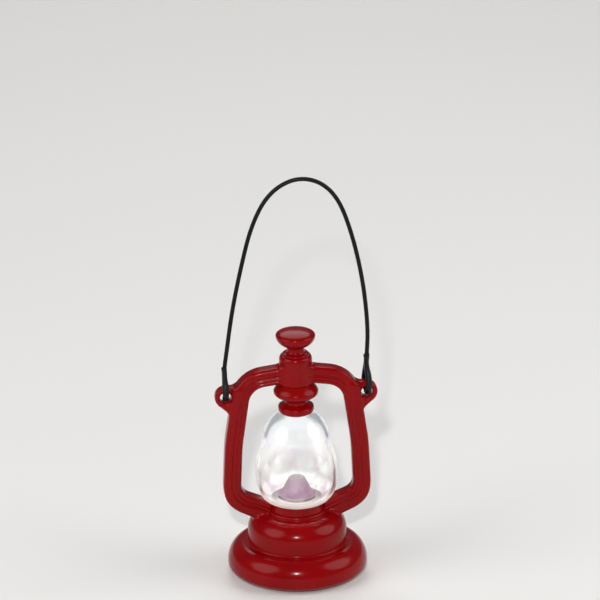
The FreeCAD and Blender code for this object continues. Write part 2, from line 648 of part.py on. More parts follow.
def finial():
    """Turned knob: a spigot in the barrel, a foot, a waisted neck and a broad domed button."""
    z = BARREL_TOP
    top = z + FINIAL_HEIGHT
    neck = FINIAL_NECK_RADIUS
    shape = Outline(0, z - SPIGOT_LENGTH).line(SPIGOT_RADIUS, z - SPIGOT_LENGTH)
    shape.line(SPIGOT_RADIUS, z).line(FINIAL_FOOT_RADIUS, z)
    shape.line(FINIAL_FOOT_RADIUS, z + FINIAL_FOOT_HEIGHT)
    shape.bend((neck, z + FINIAL_FOOT_HEIGHT), neck, z + FINIAL_NECK_LOW)
    shape.line(neck, z + FINIAL_NECK_HIGH)
    shape.bend((neck, z + KNOB_FOOT_HEIGHT), KNOB_FOOT_RADIUS, z + KNOB_FOOT_HEIGHT)
    shape.bend((KNOB_RADIUS, z + KNOB_FOOT_HEIGHT + FINIAL_FOOT_HEIGHT), KNOB_RADIUS,
               z + KNOB_RIM_HEIGHT)
    shape.bend((KNOB_RADIUS, top), 0, top)
    tapped = drum(HOOD_SCREW_RADIUS, z - SPIGOT_LENGTH,
                  HOOD_SCREW_SEAT + HOOD_SCREW_LENGTH - z + SPIGOT_LENGTH)
    return shape.turned().cut(tapped)


def barrel():
    """Tube at the top of the frame, with a low bead under its rounded shoulder."""
    wide = BARREL_RADIUS + BARREL_BEAD
    bead = BARREL_TOP - BARREL_BEAD_DROP
    shape = Outline(SPIGOT_RADIUS + FIT, HOOD_TOP).line(BARREL_RADIUS, HOOD_TOP)
    shape.line(BARREL_RADIUS, bead - BARREL_BEAD_HEIGHT)
    shape.bend((wide, bead - BARREL_BEAD_HEIGHT), wide, bead)
    shape.bend((wide, BARREL_TOP), BARREL_LIP_RADIUS, BARREL_TOP)
    shape.line(SPIGOT_RADIUS + FIT, BARREL_TOP)
    return shape.turned()


def rounded_section(origin, across, depth):
    """Closed wire of a rectangle with round corners, in the plane of across and Y."""
    half_width = ARM_WIDTH / 2
    half_depth = depth / 2
    corner = ARM_EDGE_RADIUS
    slant = corner * (1 - math.sqrt(0.5))

    def at(wide, deep):
        return origin + across * wide + Vector(0, deep, 0)

    edges = []
    quarters = [(1, 1), (-1, 1), (-1, -1), (1, -1)]
    for number, (wide, deep) in enumerate(quarters):
        flat = at(wide * (half_width - corner), deep * half_depth)
        upright = at(wide * half_width, deep * (half_depth - corner))
        middle = at(wide * (half_width - slant), deep * (half_depth - slant))
        first, second = (upright, flat) if wide * deep > 0 else (flat, upright)
        if edges:
            edges.append(Part.LineSegment(last, first).toShape())
        else:
            opening = first
        edges.append(Part.Arc(first, middle, second).toShape())
        last = second
    edges.append(Part.LineSegment(last, opening).toShape())
    return Part.Wire(edges)


def arm_points():
    """Middle line of the right arm, from inside the barrel to inside the base's dome."""
    top = HOOD_TOP + ARM_TOP_SHARE * BARREL_HEIGHT
    waist = GLOBE_BOTTOM + ARM_WAIST_SHARE * GLOBE_HEIGHT
    return [Vector(0, 0, top), Vector(ARM_SPREAD - ARM_TOP_LEAN, 0, top - ARM_TOP_DROP),
            Vector(ARM_SPREAD - ARM_WAIST_LEAN, 0, waist),
            Vector(ARM_SPREAD, 0, ARM_FOOT_HEIGHT + ARM_FOOT_RISE),
            Vector(SEAT_RADIUS - ARM_EDGE_RADIUS, 0, ARM_FOOT_HEIGHT - ARM_FOOT_DROP)]


def arm():
    """Right arm of the frame: one rounded bar bent at the top, the waist and the foot."""
    points = arm_points()
    path, _ = tangent_path(points, radii=ARM_BEND_RADII)
    heading = (points[1] - points[0]).normalize()
    across = Vector(-heading.z, 0, heading.x)
    section = rounded_section(points[0], across, ARM_DEPTH)
    bar = path.makePipeShell([section], True, False)
    pad_length = DOME_RADIUS - ARM_FOOT_INSET - SEAT_RADIUS
    pad_bottom = DOME_TOP - DOME_RISE / 2
    pad = block(SEAT_RADIUS + pad_length / 2, 0, pad_bottom, pad_length, ARM_DEPTH,
                ARM_FOOT_HEIGHT - pad_bottom)
    pad = pad.makeFillet(ARM_EDGE_RADIUS, [edge for edge in pad.Edges
                                           if edge.BoundBox.ZLength > DOME_RISE / 2
                                           and edge.BoundBox.XMin > SEAT_RADIUS + ARM_EDGE_RADIUS])
    return bar.fuse(pad)


def lug():
    """Right lug: a flat plate round the hole, run into the arm above and below."""
    half = LUG_DEPTH / 2
    centre = Vector(LUG_SPREAD, 0, LUG_HEIGHT)
    slant = LUG_RADIUS * math.sqrt(0.5)
    corners = [Vector(LUG_SPREAD - WEB_TOP_REACH, -half, LUG_HEIGHT + LUG_RADIUS),
               Vector(LUG_SPREAD, -half, LUG_HEIGHT + LUG_RADIUS),
               Vector(LUG_SPREAD + slant, -half, LUG_HEIGHT - slant),
               Vector(LUG_SPREAD - WEB_TOE_REACH, -half, LUG_HEIGHT - WEB_TOE_DROP),
               Vector(LUG_SPREAD - WEB_HEEL_REACH, -half, LUG_HEIGHT - WEB_HEEL_DROP)]
    web = Part.Face(Part.makePolygon(corners + corners[:1])).extrude(Vector(0, LUG_DEPTH, 0))
    eye = Part.makeCylinder(LUG_RADIUS, LUG_DEPTH, centre + Vector(0, -half, 0), Vector(0, 1, 0))
    return eye.fuse(web).removeSplitter()


def lug_hole():
    """Hole through the right lug, with its edges eased by small cones."""
    centre = Vector(LUG_SPREAD, 0, LUG_HEIGHT)
    through = Vector(0, 1, 0)
    half = LUG_DEPTH / 2
    hole = Part.makeCylinder(LUG_HOLE_RADIUS, ARM_DEPTH, centre - through * (ARM_DEPTH / 2), through)
    wide = LUG_HOLE_RADIUS + LUG_EDGE
    front = Part.makeCone(wide, LUG_HOLE_RADIUS, LUG_EDGE, centre - through * half, through)
    back = Part.makeCone(LUG_HOLE_RADIUS, wide, LUG_EDGE, centre + through * (half - LUG_EDGE), through)
    return hole.multiFuse([front, back])


def frame():
    """Barrel, both arms and both lugs as one moulding that stands on the dome."""
    right = arm().fuse(lug()).cut(lug_hole())
    left = right.mirror(Vector(0, 0, 0), Vector(1, 0, 0))
    arms = right.fuse(left)
    hollow = drum(BARREL_RADIUS - FIT, HOOD_TOP - ARM_WIDTH, BARREL_HEIGHT + 2 * ARM_WIDTH)
    pilots = [drum(SCREW_RADIUS, FRAME_PAD_BOTTOM, SCREW_LENGTH, x, y) for x, y in FRAME_SCREW_PLACES]
    seat_room = drum(SEAT_RADIUS + FIT, COLLAR_TOP - SEAT_HEIGHT, 2 * SEAT_HEIGHT)
    globe_room = globe_surface(-FIT)
    away = hollow.multiFuse([base_outside(), seat_room, globe_room] + pilots)
    return arms.cut(away).fuse(barrel()).removeSplitter()


def cord_points():
    """The cord's route in the lamp's frame."""
    return [Vector(x, y, RIM_MIDDLE + height) for x, y, height in CORD_ROUTE]


def handle_cord():
    """The whole carrying cord, tails and both eyes included."""
    return tube(cord_points(), CORD_RADIUS, "handle_cord")


def sleeve(sections, cord):
    """Shrunk sleeve through its oval sections, round the cord and clear of the turning lug."""
    rings = []
    for x, y, height, half_width, half_depth in sections:
        centre = Vector(x, y, RIM_MIDDLE + height)
        wide = centre + Vector(half_width, 0, 0)
        deep = centre + Vector(0, half_depth, 0)
        if half_width >= half_depth:
            curve = Part.Ellipse(wide, deep, centre)
        else:
            curve = Part.Ellipse(deep, wide, centre)
        rings.append(Part.Wire(curve.toShape()))
    solid = Part.makeLoft(rings, True, True)
    turning_room = Part.makeCylinder(EYE_INNER_RADIUS, 2 * LUG_RADIUS,
                                     Vector(sections[0][0] - LUG_RADIUS, 0, RIM_MIDDLE), Vector(1, 0, 0))
    return solid.cut(turning_room.fuse(cord))


def build():
    """Every piece by name."""
    cord = handle_cord()
    return {
        "base_shell": base_shell(),
        "base_cover": base_cover(),
        "cover_screws": cover_screws(),
        "battery_door": battery_door(),
        "battery_door_screw": battery_door_screw(),
        "button_cells": button_cells(),
        "negative_contact": contact(WELL_BOTTOM),
        "positive_contact": contact(WELL_BOTTOM + WELL_HEIGHT - CONTACT_THICKNESS),
        "circuit_board": circuit_board(),
        "resistor": resistor(),
        "switch_body": switch_body(),
        "switch_slider": switch_slider(),
        "led_wires": led_wires(),
        "globe_seat": globe_seat(),
        "burner_plate": burner_plate(),
        "burner_cone": burner_cone(),
        "led_holder": led_holder(),
        "led": led(),
        "globe": globe(),
        "frame": frame(),
        "frame_screws": frame_screws(),
        "hood": hood(),
        "hood_screw": hood_screw(),
        "finial": finial(),
        "handle_cord": cord,
        "left_cord_sleeve": sleeve(LEFT_SLEEVE, cord),
        "right_cord_sleeve": sleeve(RIGHT_SLEEVE, cord),
    }


os.makedirs("parts", exist_ok=True)
for name, shape in build().items():
    shape.exportStep("parts/" + name + ".step")
    box = shape.BoundBox
    print(name, "solids", len(shape.Solids), "valid", shape.isValid(), "volume", round(shape.Volume, 1),
          "z", round(box.ZMin, 2), round(box.ZMax, 2))
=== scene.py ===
"""Looks of a small red battery lantern in the shape of an oil lamp, built round its CAD frame.

Lengths in the code are in millimetres unless a name says metres, and meshes are written in metres.
"""

import json
import math

import bpy
import numpy as np
from bpy.props import FloatProperty, FloatVectorProperty, PointerProperty
from bpy.types import Operator, Panel, PropertyGroup
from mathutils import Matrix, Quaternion, Vector


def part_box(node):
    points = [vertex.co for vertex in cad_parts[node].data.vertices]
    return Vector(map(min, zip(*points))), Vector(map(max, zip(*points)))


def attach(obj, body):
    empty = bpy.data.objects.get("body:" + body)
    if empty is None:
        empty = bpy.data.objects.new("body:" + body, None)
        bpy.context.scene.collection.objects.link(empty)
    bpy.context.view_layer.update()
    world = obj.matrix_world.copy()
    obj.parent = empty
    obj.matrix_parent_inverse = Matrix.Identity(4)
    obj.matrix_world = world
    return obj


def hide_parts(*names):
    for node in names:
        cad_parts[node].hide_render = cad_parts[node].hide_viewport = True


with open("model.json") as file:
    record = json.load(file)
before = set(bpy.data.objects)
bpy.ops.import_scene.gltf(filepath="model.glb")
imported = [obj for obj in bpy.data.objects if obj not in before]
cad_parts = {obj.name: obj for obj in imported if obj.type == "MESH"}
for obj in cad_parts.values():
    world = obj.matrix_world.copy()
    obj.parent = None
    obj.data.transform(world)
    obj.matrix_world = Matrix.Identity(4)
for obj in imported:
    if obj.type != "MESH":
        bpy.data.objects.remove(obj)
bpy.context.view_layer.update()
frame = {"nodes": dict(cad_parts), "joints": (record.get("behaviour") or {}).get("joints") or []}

bl_info = {
    "name": "Battery lantern",
    "version": (1, 0, 0),
    "blender": (4, 5, 0),
    "location": "View3D > Sidebar > Lantern",
    "description": "Builds the visible pieces and finishes of a small battery lantern",
    "category": "Object",
}

METRES = 0.001          # metres in a millimetre
STEPS_ROUND = 160       # points round a turned piece
STEPS_ROUND_FINE = 192  # points round the base and the globe, the widest two
STEPS_ROUND_SMALL = 96  # points round the pieces inside the globe; the LED has half
STEPS_BEND = 14         # points on an eased corner
SAME_POINT = 1e-4       # points nearer than this are one
FAR = 1e3               # a distance past anything on the lamp


# ---- sizes from the frame

def low(node, axis):
    """Lowest place of a CAD node along an axis, in millimetres."""
    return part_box(node)[0][axis] / METRES


def high(node, axis):
    """Highest place of a CAD node along an axis, in millimetres."""
    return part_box(node)[1][axis] / METRES


BASE_RADIUS = high("base_shell", 0)
COLLAR_TOP = high("base_shell", 2)
GLOBE_RADIUS = high("globe", 0)
GLOBE_BOTTOM = low("globe", 2)
GLOBE_TOP = high("globe", 2)
SPIGOT_LENGTH = 4.0
HOOD_TOP = high("hood", 2) - SPIGOT_LENGTH
BARREL_TOP = high("frame", 2)
FINIAL_TOP = high("finial", 2)
LUG_REACH = high("frame", 0)
HINGE_HEIGHT = frame["joints"][0]["pos_m"][2] / METRES
PLATE_BOTTOM = low("burner_plate", 2)
PLATE_TOP = high("burner_plate", 2)
CONE_TOP = high("burner_cone", 2)

FOOT_TOP = 15.2
DOME_RADIUS = 22.7
DOME_BAND_TOP = 21.4
DOME_TOP = 29.7
COLLAR_RADIUS = 14.0
NECK_BORE_RADIUS = 9.5
FOOT_OPENING_RADIUS = 21.5
BASE_WALL = 2.0
SEAT_RADIUS = 12.6
GLOBE_FOOT_RADIUS = 12.0
GLOBE_WALL = 1.8
SPIGOT_RADIUS = 4.4
BARREL_RADIUS = 7.05
BARREL_SKIN_RADIUS = 7.25
BARREL_BEAD_RADIUS = 7.65
BARREL_BEAD_DROP = 2.4
BARREL_BEAD_RUN = 1.8
BARREL_LIP_RADIUS = 6.2
BARREL_BORE_RADIUS = 4.5
LUG_SPREAD = 32.7
LUG_HEIGHT = 88.0
LUG_RADIUS = 5.0
LUG_HOLE_RADIUS = 2.6
LUG_HALF_DEPTH = 2.75
ARM_HALF_WIDTH = 4.1
ARM_HALF_DEPTH = 4.0
ARM_FOOT_HEIGHT = 32.7
PLATE_BORE_RADIUS = 2.6


# ---- what a user may change

class LanternSizes(PropertyGroup):
    """Sizes of the frame's mouldings and of the cord."""

    groove_depth: FloatProperty(
        name="Groove depth", description="Depth of the middle groove along each arm",
        default=0.00055, unit="LENGTH")
    groove_spacing: FloatProperty(
        name="Groove spacing", description="Distance from the middle groove to the inner one",
        default=0.0019, unit="LENGTH")
    fillet: FloatProperty(
        name="Fillet", description="Size of the moulded fillets where arms, lugs and barrel meet",
        default=0.0016, unit="LENGTH")
    frame_step: FloatProperty(
        name="Frame mesh step", description="Spacing of the mesh on the frame",
        default=0.00036, unit="LENGTH")
    cord_diameter: FloatProperty(
        name="Cord diameter", description="Outside diameter of the carrying cord",
        default=0.002, unit="LENGTH")


class LanternColours(PropertyGroup):
    """Colours of the finishes."""

    red: FloatVectorProperty(
        name="Red plastic", description="Glossy plastic of the base, frame, hood and finial",
        default=(0.208, 0.0010, 0.0020), subtype="COLOR", size=3)
    cord: FloatVectorProperty(
        name="Cord", description="Rubber of the carrying cord",
        default=(0.0035, 0.0035, 0.004), subtype="COLOR", size=3)
    sleeve: FloatVectorProperty(
        name="Sleeves", description="Shrunk sleeves at the cord's ends",
        default=(0.005, 0.006, 0.007), subtype="COLOR", size=3)
    # Painted glow: emission colour of the globe's belly, standing in for light on a globe that is
    # no lamp.
    globe: FloatVectorProperty(
        name="Globe", description="Light that the clear globe carries in its belly",
        default=(0.078, 0.081, 0.074), subtype="COLOR", size=3)
    burner: FloatVectorProperty(
        name="Burner", description="Plate and cone inside the globe",
        default=(0.47, 0.27, 0.38), subtype="COLOR", size=3)
    cover: FloatVectorProperty(
        name="Bottom cover", description="Black plastic of the bottom cover and battery door",
        default=(0.017, 0.017, 0.018), subtype="COLOR", size=3)
    floor: FloatVectorProperty(
        name="Floor", description="Plain floor of the stage",
        default=(0.80, 0.79, 0.77), subtype="COLOR", size=3)


# ---- shaders

class Value:
    """A shader number. Arithmetic on it, from either side, adds Math nodes."""

    def __init__(self, shader, socket):
        self.shader = shader
        self.socket = socket

    def math(self, operation, other):
        """A Math node on this number and another."""
        made = self.shader.node("ShaderNodeMath", {"operation": operation}, {0: self, 1: other})
        return Value(self.shader, made.outputs["Value"])

    def __add__(self, other):
        return self.math("ADD", other)

    __radd__ = __add__

    def __mul__(self, other):
        return self.math("MULTIPLY", other)

    __rmul__ = __mul__

    def __sub__(self, other):
        return self.math("SUBTRACT", other)

    def __rsub__(self, other):
        return (self * -1.0) + other

    def between(self, start, end):
        """0 up to start, 1 from end on, smooth in between; start may be the greater."""
        made = self.shader.node("ShaderNodeMapRange", {"interpolation_type": "SMOOTHSTEP"},
                                {"Value": self, "From Min": start, "From Max": end})
        return Value(self.shader, made.outputs["Result"])


class Shader:
    """The node tree of one material, made afresh if it was made before.

    No name here may be that of a material that comes with the frame.
    """

    # Places of a Mix node's colour sockets.
    MIX_FIRST, MIX_SECOND, MIX_RESULT = 6, 7, 2

    def __init__(self, name):
        self.material = bpy.data.materials.get(name) or bpy.data.materials.new(name)
        self.material.use_nodes = True
        self.tree = self.material.node_tree
        self.tree.nodes.clear()

    def node(self, kind, settings=None, sockets=None):
        """Add a node: its settings first, then its sockets' values or links."""
        node = self.tree.nodes.new(kind)
        for key, setting in (settings or {}).items():
            setattr(node, key, setting)
        for key, given in (sockets or {}).items():
            socket = node.inputs[key]
            source = given.socket if isinstance(given, Value) else given
            if isinstance(source, bpy.types.NodeSocket):
                self.tree.links.new(source, socket)
            else:
                socket.default_value = source
        return node

    def place(self, scale=(1.0, 1.0, 1.0)):
        """Position on the piece in metres, stretched by a scale along each axis."""
        coordinates = self.node("ShaderNodeTexCoord").outputs["Object"]
        made = self.node("ShaderNodeMapping", None, {"Vector": coordinates, "Scale": scale})
        return made.outputs["Vector"]

    def height(self):
        """Height on the piece in metres."""
        parts = self.node("ShaderNodeSeparateXYZ", None, {"Vector": self.place()})
        return Value(self, parts.outputs["Z"])

    def noise(self, scale, detail=2.0, roughness=0.5, stretch=(1.0, 1.0, 1.0)):
        """Smooth noise from 0 to 1."""
        made = self.node("ShaderNodeTexNoise", None, {
            "Vector": self.place(stretch), "Scale": scale, "Detail": detail,
            "Roughness": roughness})
        return Value(self, made.outputs["Fac"])

    def mix(self, share, first, second):
        """Colour between two colours."""
        first, second = (colour if isinstance(colour, bpy.types.NodeSocket) else (*colour, 1.0)
                         for colour in (first, second))
        made = self.node("ShaderNodeMix", {"data_type": "RGBA"},
                         {"Factor": share, self.MIX_FIRST: first, self.MIX_SECOND: second})
        return made.outputs[self.MIX_RESULT]

    def bump(self, height, strength, distance):
        """Normal from a height in metres times distance."""
        made = self.node("ShaderNodeBump", None, {"Height": height, "Strength": strength,
                                                  "Distance": distance})
        return made.outputs["Normal"]

    def finish(self, **sockets):
        """Principled surface with the named sockets; an underscore stands for a space."""
        named = {key.replace("_", " "): given for key, given in sockets.items()}
        surface = self.node("ShaderNodeBsdfPrincipled", None, named)
        self.node("ShaderNodeOutputMaterial", None, {"Surface": surface.outputs["BSDF"]})
        return self.material


def shade(colour, factor):
    """A colour made lighter or darker."""
    return tuple(min(1.0, part * factor) for part in colour)


def red_plastic(colours):
    """Deep red moulded plastic: high gloss, faint orange peel and fine hairline rubs."""
    s = Shader("red_moulded_plastic")
    flow = s.noise(60.0, 3.0)
    peel = s.noise(900.0, 2.0)
    rubs = s.noise(260.0, 6.0, 0.65, (1.0, 1.0, 0.12)).between(0.6, 0.78)
    dust = s.noise(2600.0, 1.0).between(0.70, 0.80)
    colour = s.mix(flow.between(0.3, 0.7), shade(colours.red, 0.93), shade(colours.red, 1.07))
    colour = s.mix(dust * 0.05, colour, (0.45, 0.40, 0.38))
    roughness = 0.15 + flow * 0.06 + rubs * 0.06 + dust * 0.05
    normal = s.bump(peel + rubs * 0.3, 0.05, 0.00006)
    return s.finish(Base_Color=colour, Roughness=roughness, Normal=normal, IOR=1.23)


def clear_plastic(colours):
    """Clear globe plastic with a faint painted glow: emission stands in for light, as the globe is
    no lamp.

    By height in metres, the painted glow is strongest in the bowl's rim, all but gone beside the
    burner, where painted lilac reflections of the burner lie on the wall's colour, and even from
    the belly to the crown. A slow wave in the wall shifts its bounds.
    """
    s = Shader("clear_globe_plastic")
    wave = s.noise(95.0, 2.0)
    height = s.height() + (s.noise(150.0, 2.0) - 0.5) * 0.006
    fine = s.noise(1500.0, 2.0).between(0.55, 0.75)
    # Painted glow: emission colours by height stand in for light, brightest in the bowl's rim and
    # dark beside the burner.
    painted_glow = s.mix(height.between(0.043, 0.040), (0.014, 0.009, 0.012), (0.19, 0.19, 0.18))
    painted_glow = s.mix(height.between(0.051, 0.055), painted_glow, colours.globe)
    painted_glow = s.mix(height.between(0.061, 0.066), painted_glow, (0.066, 0.060, 0.078))
    painted_glow = s.mix(height.between(0.068, 0.071), painted_glow, (0.076, 0.083, 0.090))
    # Painted reflection: lilac patches of the burner, laid on the wall's colour beside it.
    patches = s.noise(210.0, 2.0, 0.4, (1.0, 1.0, 0.7)).between(0.50, 0.60)
    patches = patches * height.between(0.042, 0.045) * height.between(0.052, 0.048)
    tint = s.mix(wave, (0.95, 0.96, 0.95), (1.0, 1.0, 1.0))
    return s.finish(Base_Color=s.mix(patches * 0.8, tint, (0.78, 0.62, 0.74)),
                    Roughness=0.012 + fine * 0.03, Normal=s.bump(wave, 0.12, 0.0006), IOR=1.45,
                    Transmission_Weight=0.94, Emission_Color=painted_glow, Emission_Strength=1.0)


def rubber(colours):
    """Smooth black rubber of the cord, with faint drawn lines and a dusty bloom."""
    s = Shader("cord_rubber")
    bloom = s.noise(420.0, 4.0, 0.6)
    grain = s.noise(2400.0, 3.0)
    colour = s.mix(bloom.between(0.35, 0.75), colours.cord, shade(colours.cord, 1.9))
    return s.finish(Base_Color=colour, Roughness=0.36 + bloom * 0.14,
                    Normal=s.bump(grain, 0.18, 0.00005), IOR=1.50, Specular_IOR_Level=0.16)


def shrunk_sleeve(colours):
    """Satin black sleeve, slightly creased where it was shrunk on."""
    s = Shader("shrunk_sleeve")
    crease = s.noise(520.0, 3.0, 0.6, (1.0, 1.0, 0.35))
    grain = s.noise(3200.0, 2.0)
    colour = s.mix(crease.between(0.4, 0.7), colours.sleeve, shade(colours.sleeve, 1.7))
    return s.finish(Base_Color=colour, Roughness=0.30 + crease * 0.16,
                    Normal=s.bump(crease + grain * 0.2, 0.35, 0.00022), IOR=1.50,
                    Specular_IOR_Level=0.18)


def burner_plastic(colours):
    """Pale lilac-grey satin plastic of the burner's plate and cone."""
    s = Shader("burner_satin_plastic")
    cloud = s.noise(240.0, 3.0)
    colour = s.mix(cloud.between(0.3, 0.7), shade(colours.burner, 0.88),
                   shade(colours.burner, 1.1))
    return s.finish(Base_Color=colour, Roughness=0.28 + cloud * 0.15,
                    Normal=s.bump(s.noise(2200.0), 0.08, 0.00005), IOR=1.49)


def grained_black(colours):
    """Black plastic with a fine spark-eroded grain, rubbed smoother in patches."""
    s = Shader("grained_black_plastic")
    grain = s.noise(2600.0, 3.0, 0.6)
    rubbed = s.noise(110.0, 4.0).between(0.45, 0.7)
    colour = s.mix(rubbed * 0.6, colours.cover, shade(colours.cover, 1.8))
    return s.finish(Base_Color=colour, Roughness=0.58 - rubbed * 0.2,
                    Normal=s.bump(grain, 0.45, 0.00009), IOR=1.49)


def metal(name, colour, roughness, scratch):
    """Plated metal: fine scratches along one way and slightly uneven plating."""
    s = Shader(name)
    lines = s.noise(900.0, 5.0, 0.7, (1.0, 9.0, 1.0))
    patches = s.noise(300.0, 2.0)
    tint = s.mix(patches.between(0.3, 0.7), shade(colour, 0.85), shade(colour, 1.08))
    return s.finish(Base_Color=tint, Metallic=1.0, Roughness=roughness + lines * scratch,
                    Normal=s.bump(lines, 0.12, 0.00004))


def board_mask():
    """Green solder mask with a faint weave of the board under it."""
    s = Shader("board_green_mask")
    weave_x = s.noise(1800.0, 1.0, 0.5, (1.0, 0.08, 1.0))
    weave_y = s.noise(1800.0, 1.0, 0.5, (0.08, 1.0, 1.0))
    weave = weave_x * 0.5 + weave_y * 0.5
    colour = s.mix(weave.between(0.35, 0.65), (0.008, 0.075, 0.026), (0.014, 0.12, 0.045))
    return s.finish(Base_Color=colour, Roughness=0.3 + weave * 0.12,
                    Normal=s.bump(weave, 0.2, 0.00004))


def wire_cover():
    """Red insulation of the LED's wires, slightly dulled by handling."""
    s = Shader("wire_insulation")
    dull = s.noise(700.0, 3.0)
    colour = s.mix(dull.between(0.3, 0.7), (0.30, 0.012, 0.010), (0.42, 0.03, 0.025))
    return s.finish(Base_Color=colour, Roughness=0.35 + dull * 0.15,
                    Normal=s.bump(dull, 0.1, 0.00005))


def lens_epoxy():
    """Pale translucent epoxy of the LED, slightly frosted."""
    s = Shader("led_epoxy")
    frost = s.noise(1500.0, 2.0)
    colour = s.mix(frost.between(0.3, 0.7), (0.88, 0.86, 0.74), (0.95, 0.94, 0.86))
    return s.finish(Base_Color=colour, Roughness=0.12 + frost * 0.08,
                    Normal=s.bump(frost, 0.05, 0.00004), IOR=1.54, Transmission_Weight=0.5)


def floor_paint(colours):
    """Plain matt floor."""
    s = Shader("stage_floor")
    cloud = s.noise(1.3, 2.0)
    colour = s.mix(cloud, shade(colours.floor, 0.985), colours.floor)
    return s.finish(Base_Color=colour, Roughness=0.62)


# ---- mesh helpers

def clear_old(name):
    """Remove a piece of that name left by an earlier run of its operator."""
    old = bpy.data.objects.get(name)
    if old is not None:
        bpy.data.objects.remove(old)


def piece_from(name, points, faces, material, body, slot, node):
    """Object from points in millimetres and faces, riding on a body in place of a CAD node."""
    clear_old(name)
    mesh = bpy.data.meshes.new(name)
    mesh.from_pydata((points * METRES).tolist(), [], faces)
    mesh.polygons.foreach_set("use_smooth", np.ones(len(mesh.polygons), bool))
    mesh.update()
    mesh.materials.append(material)
    piece = bpy.data.objects.new(name, mesh)
    bpy.context.scene.collection.objects.link(piece)
    return place_piece(piece, body, node)


def place_piece(piece, body, node):
    """Let a finished piece ride on its body in place of a CAD node."""
    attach(piece, body)
    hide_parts(node)
    return piece


def turned_piece(name, node, profile, material, slot, closed=True, around=STEPS_ROUND):
    """Turn a section into a piece of the lamp body that stands in for a CAD node."""
    return piece_from(name, *turned(profile, closed, around), material, "lamp", slot, node)


def give_finish(node, material):
    """Give a CAD node that stays in view its material."""
    materials = frame["nodes"][node].data.materials
    materials.clear()
    materials.append(material)


def bend(start, corner, end, steps=STEPS_BEND):
    """Elliptical quarter between two points whose end tangents meet at the corner.

    A weighted mean of the three points: weights (1 - t)^2, sqrt(2) t (1 - t) and t^2.
    """
    t = np.linspace(0.0, 1.0, steps)[:, None]
    weights = np.stack([(1 - t) ** 2, math.sqrt(2) * t * (1 - t), t ** 2])
    anchors = np.array([start, corner, end], float)[:, None]
    return (weights * anchors).sum(0) / weights.sum(0)


def outline(corners, closed=True):
    """Outline from corners (radius, height, reach before, reach after), each eased by a bend.

    A reach is how far along its side a bend starts or ends; one that is given once holds for
    both. Open outlines keep their two end points as they are.
    """
    points = np.array([corner[:2] for corner in corners], float)
    reaches = [(corner[2], corner[-1]) for corner in corners]
    count = len(points)
    pieces = []
    for number in range(count):
        if not closed and number in (0, count - 1):
            pieces.append(points[number][None])
            continue
        here = points[number]
        before = points[number - 1] - here
        after = points[(number + 1) % count] - here
        start = here + before / np.linalg.norm(before) * reaches[number][0]
        end = here + after / np.linalg.norm(after) * reaches[number][1]
        pieces.append(bend(start, here, end))
    return filled(np.concatenate(pieces), closed)


def filled(points, closed, longest=1.6):
    """Add points on long straight sides, so that no step is longer than a given length."""
    ends = np.roll(points, -1, axis=0) if closed else points[1:]
    starts = points if closed else points[:-1]
    out = []
    for start, end in zip(starts, ends):
        parts = max(1, math.ceil(np.linalg.norm(end - start) / longest))
        out.append(start + (end - start) * (np.arange(parts) / parts)[:, None])
    if not closed:
        out.append(points[-1:])
    dense = np.concatenate(out)
    gaps = np.linalg.norm(np.diff(dense, axis=0, prepend=dense[-1:] + 1.0), axis=1)
    return dense[gaps > SAME_POINT]


def ring_faces(rows, around, wraps=False):
    """Quads between rows of points that each make a ring; the last row may join the first."""
    i, j = np.meshgrid(np.arange(rows if wraps else rows - 1), np.arange(around), indexing="ij")
    next_i = (i + 1) % rows
    next_j = (j + 1) % around
    return np.stack([i * around + j, i * around + next_j, next_i * around + next_j,
                     next_i * around + j], axis=-1).reshape(-1, 4).tolist()


def capped_faces(rows, around):
    """The same quads and a fan at each end, to two poles that come after the rows' points."""
    ring = np.arange(around)
    turn = (ring + 1) % around
    pole = np.full(around, rows * around)
    last = (rows - 1) * around
    fans = np.concatenate([np.stack([pole, turn, ring], axis=-1),
                           np.stack([last + ring, last + turn, pole + 1], axis=-1)])
    return ring_faces(rows, around) + fans.tolist()


def turned(profile, closed=True, around=STEPS_ROUND):
    """Surface of revolution: point (i, j) is profile point i turned about Z by j steps.

    A closed profile makes a ring-shaped solid. An open one starts and ends on the axis, where
    each end is one pole. Profiles run anticlockwise in the plane of radius and height.
    """
    angle = np.linspace(0.0, 2 * math.pi, around, endpoint=False)
    body = profile if closed else profile[1:-1]
    radius, height = body[:, :1], body[:, 1:]
    points = np.stack([radius * np.cos(angle), radius * np.sin(angle),
                       height + 0.0 * angle], axis=-1).reshape(-1, 3)
    if closed:
        return points, ring_faces(len(body), around, wraps=True)
    poles = [[0.0, 0.0, profile[0][1]], [0.0, 0.0, profile[-1][1]]]
    return np.concatenate([points, poles]), capped_faces(len(body), around)


def carried(rings, around=40):
    """Closed tube of oval sections: section i is an ellipse about its centre, tilted about X.

    A ring holds its centre, half width along X, half thickness and tilt in degrees. Both ends
    close on a pole at the end centre.
    """
    angle = np.linspace(0.0, 2 * math.pi, around, endpoint=False)
    x, y, z, half_width, half_thickness, tilt = rings.T[:, :, None]
    deep = half_thickness * np.sin(angle)
    points = np.stack([x - half_width * np.cos(angle), y + deep * np.cos(np.radians(tilt)),
                       z + deep * np.sin(np.radians(tilt))], axis=-1).reshape(-1, 3)
    points = np.concatenate([points, rings[:1, :3], rings[-1:, :3]])
    return points, capped_faces(len(rings), around)


# ---- the moulded frame as a field

